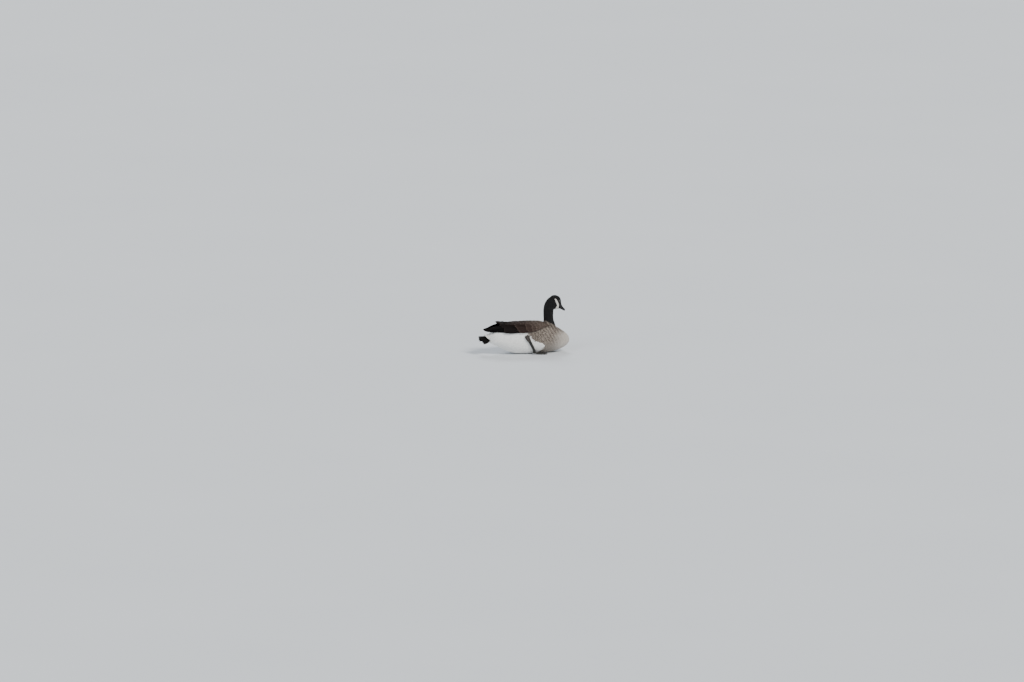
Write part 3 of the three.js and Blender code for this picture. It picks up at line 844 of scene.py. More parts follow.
# %% [markdown]
# ## Scattering roots
# Real feathers grow at even distances that change slowly over the body. Candidates are thrown over the
# skin, more where feathers are small, and taken in turn if no taken one stands too near.


# %% Even scatter
def scatter(spacing, seed, tries=7):
    """Roots, normals there and distances kept, which spacing(points) gives; 0 is where none grow."""
    rng = np.random.default_rng(seed)
    reach = spacing(tri_corners.mean(1))
    weight = np.where(reach > 0, tri_area / np.maximum(reach, 0.1) ** 2, 0)
    chosen = rng.choice(len(weight), int(weight.sum() * tries), p=weight / weight.sum())
    a, b = rng.random((2, len(chosen), 1))
    fold = a + b > 1
    a, b = np.where(fold, 1 - a, a), np.where(fold, 1 - b, b)
    corner = tri_corners[chosen]
    points = corner[:, 0] + a * (corner[:, 1] - corner[:, 0]) + b * (corner[:, 2] - corner[:, 0])
    reach = spacing(points)
    points, chosen, reach = points[reach > 0], chosen[reach > 0], reach[reach > 0]
    tree = KDTree(len(points))
    for i, p in enumerate(points.tolist()):
        tree.insert(p, i)
    tree.balance()
    free, taken = np.ones(len(points), bool), []
    for i, p in enumerate(points.tolist()):
        if free[i]:
            taken.append(i)
            for _, j, _ in tree.find_range(p, reach[i]):
                free[j] = False
    taken = np.array(taken)
    out = unit(vertex_normals[triangles[chosen[taken]]].sum(1))
    return points[taken], out, reach[taken]


SWAY, BODY_CAMBER, BODY_FRAY = 0.1, 0.08, 0.16


def grow(name, scattered, length, width, lifts, material, slot, unroll, rows, across, thickness, seed):
    """Feathers that start at their roots and follow the skin along the lie, rising from root to tip."""
    roots, out = scattered
    rng = np.random.default_rng(seed)
    count = len(roots)
    spans = rungs(rows)
    way = lie(roots, out)
    side = np.cross(out, way)
    way = unit(way + side * rng.normal(0, SWAY, (count, 1)))
    length = length * rng.uniform(0.86, 1.12, count)
    width = width * rng.uniform(0.9, 1.1, count)
    lift_low, lift_high = lifts
    lift_high = lift_high * rng.uniform(0.8, 1.12, count)
    centre, normals = np.empty((count, rows, 3)), np.empty((count, rows, 3))
    place, normal = roots, out
    for r, t in enumerate(spans):
        if r:
            place = place + way * (length * (t - spans[r - 1]))[:, None]
            place, normal = on_skin(place)
            way = unit(way - normal * (way * normal).sum(1, keepdims=True))
        lift = mix(lift_low, lift_high, t**0.8 - 0.22 * step(0.6, 1, t))
        centre[:, r] = place + normal * lift[:, None]
        normals[:, r] = normal
    base, edge, strength = markings(centre[:, int(rows * 0.7)])
    tint = rng.uniform(0.92, 1.06, (count, 1))
    tones = (base * tint, edge * tint, strength)
    half = contour(spans)[None] * (width / 2)[:, None]
    shape = across, thickness, BODY_CAMBER, seed, BODY_FRAY
    thing = vane_mesh(name, centre, normals, half, spans, tones, unroll(roots), *shape)
    thing.data.materials.append(material)
    hand_in(thing, slot)


# %% [markdown]
# ## Feather and skin materials
# Close up, a vane is a shaft with barbs slanting off it, its foot in the shade of the feathers before it
# and its edge worn paler. The shade at its foot is painted into its colour. The barbs are too fine to
# model, so they are a bump along the vane's own map.


# %% Plumage
# In the order in which plumage takes them
SOFT = {"edge_from": 0.72, "tip_from": 0.84, "barbs": 90, "shaft": 0.12, "shadow": 0.3, "relief": 0.4}


def plumage(name, roughness, sheen=0.2, gloss=0.3, **changes):
    """A feather's material: the soft body feather's looks, with any changes."""
    edge_from, tip_from, barbs, shaft, shadow, relief = (SOFT | changes).values()
    paint = Paint(name, Sheen_Weight=sheen, Sheen_Roughness=0.45, Specular_IOR_Level=gloss)
    u, v = paint.uv("Vane")
    across = ((u - 0.5) * 2).size()
    worn = paint.grain(900, 2)
    edge = (across + worn * 0.16 - 0.08).rise(edge_from, edge_from + 0.2)
    tip = (v + worn * 0.06 - 0.03).rise(tip_from, tip_from + 0.1)
    strength = paint.attribute("Edge", output=3)
    colour = paint.blend(edge.most(tip) * strength, paint.attribute("Shade"), paint.attribute("Edge"))
    colour = paint.blend((1 - across.rise(0.02, 0.07)) * shaft, colour, (0.02, 0.017, 0.015), "MULTIPLY")
    # painted shade: the vane's foot is darkened where the feathers before it lie over it
    root_shade = (1 - v.rise(0.15, 0.6)) * (strength + 0.1) * shadow
    colour = paint.blend(root_shade, colour, (0.25, 0.22, 0.2), "MULTIPLY")
    mottled = paint.grain(160, 4, roughness=0.6)
    colour = paint.blend(mottled.rise(0.35, 0.7) * 0.3, colour, (0.72, 0.7, 0.68), "MULTIPLY")
    barb = ((v * barbs) + (across * barbs * 0.16)).wave()
    fine = ((v * barbs * 3.1) + (across * barbs * 0.5)).wave()
    height = paint.bump(barb * 0.6 + fine * 0.4, 0.00025, relief)
    rough = worn * 0.16 + (roughness - 0.08)
    return paint.feed(Base_Color=colour, Roughness=rough, Normal=height)


body_plumage = plumage("soft_body_feather", 0.74)
dark_plumage = plumage("velvet_neck_feather", 0.6, 0.03, 0.2, barbs=30, shaft=0.0, shadow=0.2, relief=0.25)
firm = {"edge_from": 0.8, "tip_from": 0.91, "barbs": 260, "shaft": 0.4}
wing_plumage = plumage("firm_wing_feather", 0.66, 0.0, 0.05, **firm)

paint = Paint("skin_and_down", Roughness=0.85, Sheen_Weight=0.15)
down = paint.grain(420, 5, roughness=0.7)
flecked = paint.blend(down.rise(0.35, 0.7) * 0.35, paint.attribute("Shade"), (0.3, 0.28, 0.26), "MULTIPLY")
skin_paint = paint.feed(Base_Color=flecked, Normal=paint.bump(down, 0.0006, 0.6))


# %% Skin's markings
colour_vertices(skin, markings(corners)[0])
shade(skin, skin_paint)
hand_in(skin, "torso", "torso", "neck", "head")

# %% [markdown]
# ## Head and neck feathers
# The face wears the smallest feathers, one to two millimetres apart, and none grow on the bill, in the
# eyes or on the lids. They lengthen down the neck, where they lie like velvet.


# %% Where the head ends and the body begins
def neck_share(p):
    """0 on the body, 1 on neck and head."""
    return step(-26, -12, above_border(p)) * (from_neck_line(p) < 88) * (p[:, 0] > 95)


def face_share(p):
    head = to_head(p)
    return step(-46, -34, head[:, 0]) * step(252, 272, p[:, 2])


def bare_face(p):
    """True on the bill's foot and round the eyes."""
    head = to_head(p)
    eye = left_half(head) - EYE
    wide, top, low = (read(BILL, column, head[:, 0]) for column in (1, 2, 3))
    outwards = head[:, 1] / (wide + 0.4)
    upwards = (head[:, 2] - (top + low) / 2) / ((top - low) / 2 + 0.6)
    bill = (outwards**2 + upwards**2 < 1) & (head[:, 0] > 30)
    return (np.hypot(eye[:, 0] / 1.12, eye[:, 2]) < EYE_RADIUS + 0.4) & (eye[:, 1] > -12) | bill


def unrolled(up, across, along):
    """Places on a bake map: the turn round a form, and the share of the way along it."""
    return np.stack([np.arctan2(up, across) / (2 * np.pi) + 0.5, along], 1)


def unroll_head(p):
    head = to_head(p)
    return unrolled(head[:, 2] + 5, head[:, 1], (head[:, 0] + 60) / 120)


def unroll_neck(p):
    return unrolled(p[:, 1], p[:, 0] - read(NECK_X, 1, p[:, 2]), (p[:, 2] - 140) / 240)


def unroll_body(p):
    return unrolled(p[:, 2] - 105, p[:, 1], (p[:, 0] + 280) / 600)


def face_spacing(p):
    head = to_head(p)
    gap = 1.25 + 0.7 * step(26, -44, head[:, 0])
    return np.where((face_share(p) > 0.5) & ~bare_face(p), gap, 0)


def clear_of_eye(p, length):
    """Lengths cut short where a feather would lie over an eye."""
    head = to_head(p)
    away = np.linalg.norm(left_half(head) - EYE, axis=1)
    return np.where(head[:, 0] > EYE[0] - 3, np.minimum(length, np.maximum(away - 6.6, 1.2)), length)


def neck_spacing(p):
    gap = 1.95 + 0.9 * step(250, 195, p[:, 2])
    return np.where((face_share(p) <= 0.5) & (neck_share(p) > 0.5), gap, 0)


roots, out, gap = scatter(face_spacing, 3)
sizes = clear_of_eye(roots, gap * 3.8), gap * 1.5, (-0.3, 0.7)
looks = dark_plumage, "head", unroll_head
grow("coat_head", (roots, out), *sizes, *looks, rows=4, across=3, thickness=0.16, seed=5)
roots, out, gap = scatter(neck_spacing, 7)
sizes = gap * 4.2, gap * 1.5, (-0.5, 1.2)
looks = dark_plumage, "neck", unroll_neck
grow("coat_neck", (roots, out), *sizes, *looks, rows=5, across=3, thickness=0.2, seed=9)

# %% [markdown]
# ## Body feathers
# Breast and belly wear dense rounded feathers two to three centimetres long. On the flanks they are broader
# with a pale edge, which draws the bars along the bird's side. The closed wings cover the back, so under
# them nothing is grown.


# %% Breast, flanks and belly
COVERED = (-146, 118)  # stations between which a closed wing hides the skin
LAST_ROOT = -252  # no body feather is rooted behind this station


def under_wing(p):
    """True where a closed wing hides the skin."""
    x, y, z = p.T
    turn = np.arctan2(z - read(WING, 1, x), np.abs(y))
    return (x > COVERED[0]) & (x < COVERED[1]) & (turn > wing_edge(x) + 0.16)


def body_gap(p):
    """Distances between roots: close on the upper breast, wide on the flanks, close again by the tail."""
    x, _, z = p.T
    white = step(12, -12, before_white(p))
    gap = 3.7 + 1.7 * step(250, 120, x) - 0.9 * step(-120, -230, x)
    gap = gap + 0.9 * step(60, 120, z) * step(200, 60, x)
    return gap * (1 - 0.2 * white)


def rises(p, gap):
    """How far feathers lie in and out of the skin, flattest where they are white or palest."""
    pale = np.maximum(step(12, -12, before_white(p)), step(170, 250, p[:, 0]))
    return gap * (-0.2 + 0.08 * pale), gap * (0.38 - 0.16 * pale)


def region_spacing(low, high):
    def spacing(p):
        x, z = p[:, 0], p[:, 2]
        own = (x > low) & (x <= high) & (neck_share(p) <= 0.5) & ~under_wing(p)
        return np.where(own & (x > LAST_ROOT) & (z > SKIN_LOWEST + 0.1), body_gap(p), 0)

    return spacing


REGIONS = ("crop", "breast", "flanks", "belly", "vent", "rump")
REGION_ENDS = (400, 232, 150, 40, -60, -150, -400)  # stations between which each region lies
looks = body_plumage, "torso", unroll_body
for n, name in enumerate(REGIONS):
    roots, out, gap = scatter(region_spacing(REGION_ENDS[n + 1], REGION_ENDS[n]), 21 + n)
    sizes = gap * 4.6, gap * 2.1, rises(roots, gap)
    grow("coat_" + name, (roots, out), *sizes, *looks, rows=8, across=5, thickness=0.18, seed=31 + n)


# %% Feathers over the heels
CUFF_TONES = ((0.034, 0.028, 0.024), (0.11, 0.092, 0.078), 0.7)
CUFF_RINGS = ((0.215, 17), (0.165, 17), (0.115, 16), (0.065, 14))  # place along the leg, feathers


def cuff(side):
    """Short feathers in rings round the leg's upper end, where it leaves the flank."""
    path = smooth_line(LEG_LINE) * [1, side, 1]
    surface = tube_rule(path, LEG, 0)
    spans = rungs(8)
    made = []
    for ring, (start, count) in enumerate(CUFF_RINGS):
        rng = np.random.default_rng(300 + ring)
        angle = (np.arange(count) + 0.5 * (ring % 2) + rng.normal(0, 0.12, count)) / count * 2 * math.pi
        t = start + spans * rng.uniform(0.13, 0.17, (count, 1))
        place = surface(t.ravel(), np.repeat(angle, len(spans))).reshape(count, len(spans), 3)
        out = unit(place - along_path(path, t * (len(path) - 1)))
        centre = place + out * mix(0, 2.6, spans**0.8 - 0.3 * step(0.6, 1, spans))[:, None]
        half = np.tile(contour(spans) * 5, (count, 1))
        tint = rng.uniform(0.8, 1.15, (count, 1))
        base, edge, strength = CUFF_TONES
        colours = (np.array(base) * tint, np.array(edge) * tint, np.full(count, strength))
        roots = unroll_body(place[:, 0])
        shape = 5, 0.25, 0.2, 310 + ring, BODY_FRAY
        thing = vane_mesh("cuff", centre, out, half, spans, colours, roots, *shape)
        thing.data.materials.append(body_plumage)
        made.append(thing)
    return made


for side, word in SIDES:
    hand_in(merge("cuff_" + word, cuff(side)), "torso")

# %% [markdown]
# ## The closed wings
# A folded wing is a stack of tiers. Small coverts lie at the shoulder, longer ones behind them, then the
# secondaries, and from under these the primaries run back to a point over the tail. Each tier starts
# under the one before it and rises to its tips, and in a tier each feather covers the one below it. Long
# shoulder feathers and the big innermost secondaries close the back. A plate with a feather pattern would
# show no steps in side light, so each feather is a vane, laid on the wing's form by its place in a tier.

# %% Wing tones
UMBER, UMBER_EDGE = (0.034, 0.0215, 0.0185), (0.15, 0.108, 0.088)
FAWN, FAWN_EDGE = (0.088, 0.066, 0.055), (0.36, 0.3, 0.25)
SOOT, SOOT_EDGE = (0.0085, 0.0065, 0.0062), (0.032, 0.023, 0.02)
INK = (0.005, 0.0046, 0.0045)


def wing_tones(tier, x, rng):
    """Tones for vanes of a tier, paler and greyer towards the shoulder."""
    count = len(x)
    forward = step(-30, 118, x)[:, None]
    dark = mix(0.24, 1, step(-165, 5, x))[:, None]
    base = mix(np.array(UMBER), np.array(FAWN), forward) * dark
    edge = mix(np.array(UMBER_EDGE), np.array(FAWN_EDGE), forward) * dark
    strength = np.full(count, 0.9)
    if tier in ("secondaries", "tertials"):
        base, edge, strength = np.tile(SOOT, (count, 1)), np.tile(SOOT_EDGE, (count, 1)), np.full(count, 0.8)
    if tier == "primaries":
        base, edge, strength = np.tile(INK, (count, 1)), np.tile(SOOT, (count, 1)), np.full(count, 0.4)
    tint = rng.uniform(0.82, 1.15, (count, 1))
    return base * tint, edge * tint, strength


# %% Tiers
# count, root station low and high, tip station low and high, fill of the way up, lift at root and tip, cover
TIERS = {
    "secondaries": (11, (-20, -60), (-150, -180), (0.02, 0.64), (-5.6, 2.2), 1.75),
    "greater": (16, (52, 26), (-60, -96), (0.02, 0.9), (-5.2, 2.8), 1.7),
    "median": (16, (84, 66), (2, -26), (0.03, 0.92), (-5.2, 3.0), 1.7),
    "lesser1": (16, (104, 88), (34, 14), (0.04, 0.92), (-5.2, 3.0), 1.75),
    "lesser2": (16, (118, 106), (60, 44), (0.05, 0.92), (-5.2, 3.0), 1.8),
    "lesser3": (15, (127, 116), (84, 70), (0.08, 0.92), (-5.2, 2.8), 1.8),
    "lesser4": (14, (131, 122), (102, 92), (0.14, 0.9), (-5.2, 2.2), 1.8),
    "front1": (14, (148, 137), (117, 106), (0.05, 0.92), (-8.5, 2.2), 1.9),
    "front2": (13, (162, 150), (131, 119), (0.0, 0.95), (-10, 0.6), 1.9),
}
SHOULDER_ROWS, SHOULDER_LENGTH = 11, 64
TIP_LENGTH = 17  # the round end of a wing feather
MAP_START = {RIGHT: 0.02, LEFT: 0.5}  # where each wing's patches begin on the bake map


def blade_line(x, share, lifts, side, straight):
    """Centre line of wing feathers and the way out: they follow the wing, then run on straight."""
    centre, out = wing_point(np.maximum(x, straight), share, lifts, side)
    end, end_out = wing_point(x[:, -1:], share[:, -1:], lifts[:, -1:], side)
    gone = np.clip((x - straight) / np.minimum(x[:, -1:] - straight, -1e-6), 0, 1)[..., None]
    return mix(centre, end, gone), unit(mix(out, end_out, gone))


def wing_feathers(side, tier, spec, seed, straight=-300, swell=0.8):
    """One tier, or a row of shoulder feathers, as vanes on the closed wing."""
    count, root, tip, fill, lift, cover = spec
    rng = np.random.default_rng(seed)
    up = (np.arange(count) + rng.normal(0, 0.12, count)) / max(count - 1, 1)
    share = mix(fill[0], fill[1], up)
    root_x = mix(root[0], root[1], up) + rng.normal(0, 1.5, count)
    tip_x = mix(tip[0], tip[1], up) + rng.normal(0, 2.2, count) + 4.5 * np.sin(up * 8 + seed)
    spans = rungs(13)
    x = mix(root_x[:, None], tip_x[:, None], spans)
    drift = share[:, None] + rng.normal(0, 0.006, (count, 1)) * spans
    lifts = mix(lift[0], lift[1] + rng.normal(0, 0.25, (count, 1)), spans**swell)
    centre, out = blade_line(x, drift, lifts, side, straight)
    ahead = unit(np.gradient(centre, axis=1))
    rise = wing_point(x, drift + 0.02, lifts, side)[0] - wing_point(x, drift - 0.02, lifts, side)[0]
    rise = unit(rise - ahead * (rise * ahead).sum(-1, keepdims=True))
    out = unit(np.cross(ahead, rise) * side)
    near = wing_point(mix(root_x, tip_x, 0.75), share, 0 * share, side)[0]
    pitch_share = (fill[1] - fill[0]) / max(count - 1, 1)
    beyond = wing_point(mix(root_x, tip_x, 0.75), share + pitch_share, 0 * share, side)[0]
    pitch = np.linalg.norm(beyond - near, axis=1)
    roll = np.arcsin(np.minimum(0.75 / pitch, 0.3))[:, None, None]
    normal = out * np.cos(roll) + rise * np.sin(roll)
    taper = 1 - TIP_LENGTH / np.mean(root_x - tip_x)
    half = contour(spans, taper, 0.5)[None] * (pitch * cover / 2)[:, None]
    tones = wing_tones(tier, tip_x, rng)
    roots = np.stack([share * 0.45 + MAP_START[side], (root_x + 290) / 460], 1)
    thing = vane_mesh(tier, centre, normal, half, spans, tones, roots, 7, 0.5, 0.1, seed)
    thing.data.materials.append(wing_plumage)
    return thing


PRIMARIES, PRIMARY_ROOT, PRIMARY_STRAIGHT = 9, -118, -165


def flight_point(side):
    """The primaries: flat on one another in a stack, straight once they leave the wing."""
    made = []
    for i in range(PRIMARIES):
        up = i / (PRIMARIES - 1)
        tip, spans = mix(-238, -274.5, up), rungs(20)
        x = mix(PRIMARY_ROOT, tip, spans)[None]
        lifts = -0.2 - 0.95 * i - 6 * step(PRIMARY_STRAIGHT, PRIMARY_ROOT, x)
        share = np.full_like(x, mix(0.37, 0.07, up))
        centre, out = blade_line(x, share, lifts, side, PRIMARY_STRAIGHT)
        half = contour(spans, 0.7, 0.7, 0.2)[None] * 10.5
        tones = wing_tones("primaries", np.array([tip]), np.random.default_rng(i))
        roots = np.array([[up * 0.3 + MAP_START[side], 0.02]])
        thing = vane_mesh("primary", centre, out, half, spans, tones, roots, 9, 0.6, 0.08, 50 + i)
        thing.data.materials.append(wing_plumage)
        made.append(thing)
    return made


for side, word in SIDES:
    seed = 100 if side == LEFT else 200
    quills = flight_point(side)
    quills.append(wing_feathers(side, "secondaries", TIERS["secondaries"], seed))
    inner = (6, (0, -10), (-176, -192), (0.52, 0.99), (-5, 5.0), 1.9)
    quills.append(wing_feathers(side, "tertials", inner, seed + 1, straight=-150, swell=1.9))
    hand_in(merge("quills_" + word, quills), "wing_" + word, "wing_" + word)
    coverts = [
        wing_feathers(side, tier, spec, seed + 2 + n)
        for n, (tier, spec) in enumerate(TIERS.items())
        if tier != "secondaries"
    ]
    hand_in(merge("coverts_" + word, coverts), "wing_" + word)
    shoulder = []
    for row in range(SHOULDER_ROWS):
        tip = mix(92, -142, row / (SHOULDER_ROWS - 1))
        low = 0.66 - 0.1 * step(0, 6, row) + (0.03 if row % 2 else 0)
        root = (min(tip + SHOULDER_LENGTH, 126), min(tip + SHOULDER_LENGTH - 6, 120))
        spec = (8, root, (tip + 6, tip - 8), (low, 1.0), (-4.6, 4.0 + 0.12 * row), 2.0)
        shoulder.append(wing_feathers(side, "shoulder", spec, seed + 20 + row))
    hand_in(merge("shoulder_" + word, shoulder), "wing_" + word)

# %% [markdown]
# ## Tail
# Sixteen tail feathers fan out between white coverts, two ranks above them and two below. Each outer pair
# lies lower than the one inside it, so the fan is arched. Each is the same vane as before, but straight,
# and its place in the fan gives all its measures.


# %% Fan
def fan(name, pairs, root, tip, height, spread, shorter, width, layer, arch, looks, rows):
    """Pairs of vanes from the middle out. height, spread and arch are each given at root and at tip."""
    tones, material = looks
    made = []
    for pair in range(pairs):
        for side in (RIGHT, LEFT):
            rng = np.random.default_rng(int(pair * 2 + (side > 0) + abs(tip)))
            outer = (pair + 0.5) / (pairs - 0.5)
            depth = layer * (pair + (0.5 if side == LEFT else 0))
            spans = rungs(rows)
            x = mix(root, tip + shorter * outer**2 + rng.normal(0, 1), spans)
            y = side * outer * mix(spread[0], spread[1], spans)
            z = mix(height[0] - arch[0] * outer**2, height[1] - arch[1] * outer**2, spans) + depth
            centre = np.stack([x, y, z], -1)[None]
            slope = 2 * arch[1] * outer / spread[1]
            out = np.tile(unit(np.array([0, side * slope, 1.0])), (1, rows, 1))
            half = contour(spans, 0.6, 0.5, 0.3)[None] * width / 2
            base, edge, strength = (np.array(c, float) for c in tones)
            tint = rng.uniform(0.88, 1.1)
            colours = (base[None] * tint, edge[None] * tint, strength[None])
            roots = np.array([[0.5 + side * outer * 0.4, (height[0] - 60) / 90]])
            thing = vane_mesh(name, centre, out, half, spans, colours, roots, 7, 0.55, 0.08, pair)
            thing.data.materials.append(material)
            made.append(thing)
    return made


TAIL_BLACK = (INK, SOOT, 0.4), wing_plumage
TAIL_WHITE = ((0.8, 0.79, 0.77), (0.88, 0.87, 0.85), 0.3), body_plumage
tail = fan("rectrix", 8, -226, -304.5, (119, 123), (24, 57), 15, 17.5, -1.3, (11, 33), TAIL_BLACK, 18)
hand_in(merge("tail_feathers", tail), "tail", "tail")
ranks = fan("covert", 5, -222, -268, (127, 129.5), (20, 35), 12, 17, -1.2, (7, 11), TAIL_WHITE, 10)
ranks += fan("covert", 4, -214, -252, (130, 133), (20, 28), 8, 17, -1.2, (7, 9), TAIL_WHITE, 10)
ranks += fan("covert", 5, -214, -266, (88, 95), (22, 32), 12, 17, 0.9, (-4, 5), TAIL_WHITE, 10)
ranks += fan("covert", 4, -202, -250, (80, 88), (22, 28), 10, 18, 0.9, (-6, 2), TAIL_WHITE, 10)
hand_in(merge("tail_coverts", ranks), "tail")

# %% [markdown]
# ## Bill
# Both halves are horn over bone: the upper one rises to the forehead in a smooth wedge, carries an oval
# nail at its tip and an open nostril on each side, and its edge overlaps the lower half. Fine ridges along
# the edge are the comb that crops grass. Both halves are wrapped grids whose rule adds the relief.


# %% Upper and lower bill
def hollow(x, z, centre, size):
    """1 at the middle of an oval on the bill's side and 0 outside it."""
    return np.exp(-(((x - centre[0]) / size[0]) ** 2 + ((z - centre[1]) / size[1]) ** 2) ** 1.6)


def bill_rule(upper):
    def rule(t, angle):
        x = mix(BILL[0, 0], BILL_TIP, 1 - (1 - t) ** 1.5)
        wide, top, low = read(BILL, 1, x), read(BILL, 2, x), read(BILL, 3, x)
        close = np.sqrt(np.clip((BILL_TIP - x) / 7, 0, 1))
        seam = read(MOUTH, 1, x) + (0.35 if upper else -0.35)
        c, s = np.cos(angle), np.sin(angle)
        y = wide * np.sign(c) * np.abs(c) ** 0.8 * close
        rise = (top - seam) if upper else (seam - low)
        arch = np.abs(s) ** (0.95 if upper else 0.8)
        open_side = s > 0 if upper else s < 0
        away = 1 if upper else -1
        vault = seam + away * rise * arch * (0.35 + 0.65 * close)
        z = np.where(open_side, vault, seam - away * 0.1 * np.abs(s))
        if upper:
            z = np.where(open_side, z, seam + 1.6 * np.abs(s))
            z = z - 0.8 * step(0.5, 0.95, np.abs(c)) * step(40, 50, x)
            comb = (np.abs(c) > 0.93) * step(42, 48, x) * step(84, 78, x)
            z = z - comb * 0.3 * (np.sin(x * 3.6) > 0)
            side = np.sign(c)
            pit = hollow(x, z, (56, -8.8 - 0.1 * (x - 56)), (5.4, 2.1)) * open_side
            bowl = hollow(x, z, (53, -8.5), (11, 4.6)) * open_side
            y = y - side * (pit * 2.6 + bowl * 0.7) * (np.abs(c) > 0.15)
            nail = (x - 88) ** 2 / 8.2**2 + y**2 / 6.2**2
            z = z + np.where(open_side, 0.9 * step(1.15, 0.8, nail), 0)
        else:
            comb = (np.abs(c) > 0.9) * step(42, 48, x) * step(84, 78, x)
            z = z - open_side * 0.5 * np.exp(-((x - 88) ** 2) / 30) * np.abs(s)
            y = y * 0.94 - comb * 0.3 * np.sign(c) * (np.sin(x * 3.6) > 0)
        return to_body(np.stack([x, y, z], -1))

    return rule


horn = Paint("bill_horn", Roughness=0.4, Specular_IOR_Level=0.3)
grain = horn.grain(900, 3)
pits = horn.grain(240, 5, roughness=0.6)
tone = horn.blend(pits, (0.006, 0.0058, 0.006), (0.016, 0.0155, 0.0155))
relief = horn.bump(pits * 0.7 + grain * 0.3, 0.0002, 0.5)
horn.feed(Base_Color=tone, Roughness=pits * 0.24 + 0.38, Normal=relief)
for upper, word in ((True, "upper"), (False, "lower")):
    half = wrap("bill_" + word + "_horn", 150, 96, bill_rule(upper))
    shade(half, horn.material)
    hand_in(half, "bill_" + word, "bill_" + word)

# %% [markdown]
# ## Eyes and lids
# A goose's eye is a dark ball, nearly all of it behind the lids. Brown iris and black pupil lie under a
# clear wet cornea that stands a little proud. The lids are two bare rims, thicker above, that meet in a
# corner before and behind the eye. The rims bring the highlight out of a face that is black all over.


# %% Eyeballs
def eye_frame(side):
    """Centre of an eye, and its axes along, up and out, in the head's frame."""
    out = unit(np.array([0.2, side, 0.08]))
    along = unit(np.array([1.0, 0, 0]) - out * out[0])
    up = np.cross(along, out) * -side
    return EYE * [1, side, 1], np.array([along, up, out])


def eye_rule(side):
    centre, axes = eye_frame(side)

    def rule(t, angle):
        tilt = np.pi * t
        bulge = 1 + 0.05 * np.exp(-((tilt / 0.62) ** 4))
        radius = EYE_RADIUS * bulge
        local = np.stack([np.sin(tilt) * np.cos(angle), np.sin(tilt) * np.sin(angle), np.cos(tilt)], -1)
        return to_body(centre + (local * radius[:, None]) @ axes)

    return rule


ball = Paint("wet_eye", Roughness=0.3, Coat_Weight=0.7, Coat_Roughness=0.02, Specular_IOR_Level=0.05)
ball.feed(Base_Color=ball.attribute("Shade"))
for side, word in SIDES:
    eye = wrap("eyeball_" + word, 60, 64, eye_rule(side))
    centre, axes = eye_frame(side)
    local = (to_head(vertex_rows(eye) / MM) - centre) @ axes.T
    turn = np.degrees(np.arctan2(np.hypot(local[:, 0], local[:, 1]), local[:, 2]))
    streak = np.sin(np.arctan2(local[:, 1], local[:, 0]) * 26) * 0.12 + 1
    iris = np.array([0.03, 0.012, 0.006]) * streak[:, None]
    tones = mix(np.array([0.002, 0.002, 0.002]), iris, step(25, 29, turn)[:, None])
    tones = mix(tones, np.array([0.006, 0.004, 0.003]), step(44, 52, turn)[:, None])
    colour_vertices(eye, tones)
    shade(eye, ball.material)
    hand_in(eye, "eye_" + word, "eye_" + word)


# %% Lids
def lid_rule(side):
    centre, axes = eye_frame(side)

    def rule(t, angle):
        round_ = 2 * np.pi * t
        c, s = np.cos(round_), np.sin(round_)
        corner = np.abs(c) ** 3
        reach = np.stack([c * (4.9 + 1.1 * corner), s * (4.2 + 0.3 * (s > 0) * np.abs(s)), 0 * c], -1)
        depth = np.sqrt(np.clip((EYE_RADIUS * 1.05) ** 2 - reach[:, 0] ** 2 - reach[:, 1] ** 2, 0.5, None))
        reach[:, 2] = depth - 0.15 - 0.15 * corner
        away = np.stack([c, s, 0 * c], -1)
        thick = mix(0.55, 0.8, step(-0.3, 0.6, s)) * (1 - 0.25 * corner)
        fold = 1 + 0.06 * np.sin(round_ * 34) * (np.cos(angle) > 0)
        broad = away * ((np.cos(angle) * 1.7 + 1.2) * thick * fold)[:, None]
        deep = np.array([0, 0, 1.0]) * (np.sin(angle) * thick * fold - 0.8 * (np.cos(angle) + 0.7))[:, None]
        return to_body(centre + (reach + broad + deep) @ axes)

    return rule


lids = [wrap("lid", 150, 20, lid_rule(side)) for side, _ in SIDES]
rim = Paint("lid_skin", Roughness=0.45, Specular_IOR_Level=0.5)
crinkle = rim.grain(1500, 4)
tone = rim.blend(crinkle, (0.012, 0.0115, 0.0115), (0.045, 0.042, 0.04))
rim.feed(Base_Color=tone, Normal=rim.bump(crinkle, 0.0001, 0.5))
lids = merge("lids", lids)
shade(lids, rim.material)
hand_in(lids, "head")

# %% [markdown]
# ## Legs, toes and webs
# The tarsus is flattened and clad in scutes. Three front toes carry a web to their claws, the hind toe
# is small and raised. Toes, webs and tarsus are tubes and sheets united by a voxel remesh, so that no
# seam shows where they meet. Afterwards each vertex learns how far along its toe it lies, and the
# material draws the scutes across the toe from that.

# %% Toe lines
TOE_JOINT = np.array([47, 84, 17])
TOES = [(-24, 68, 4.6), (0, 84, 5.0), (22, 74, 4.6)]  # spread in degrees, length, radius
FOOT_TURN, CLAW = -3, 9
HIND_TOE = (30, -21, 2.9)  # it reaches backwards
SOLE_LOWEST = 0.4  # above the floor, where a toe is laid out; half of it once smoothed
LEG_VOXEL = 0.00085
SCUTE = 3.1  # length of a scute along leg and toes


def from_joint(side, spread, reach):
    """Stations and offsets of points that lie some reach from the toes' joint."""
    heading = np.radians(FOOT_TURN + spread) * side
    return TOE_JOINT[0] + np.cos(heading) * reach, TOE_JOINT[1] * side + np.sin(heading) * reach


def foot_point(side, spread, reach, height):
    return [*from_joint(side, spread, reach), height]


def toe_path(side, spread, length):
    stops = [(0, 15), (0.16 * length, 9.2), (0.32 * length, 6.6), (0.6 * length, 4.4), (length, 3.6)]
    return smooth_line([foot_point(side, spread, *stop) for stop in stops])


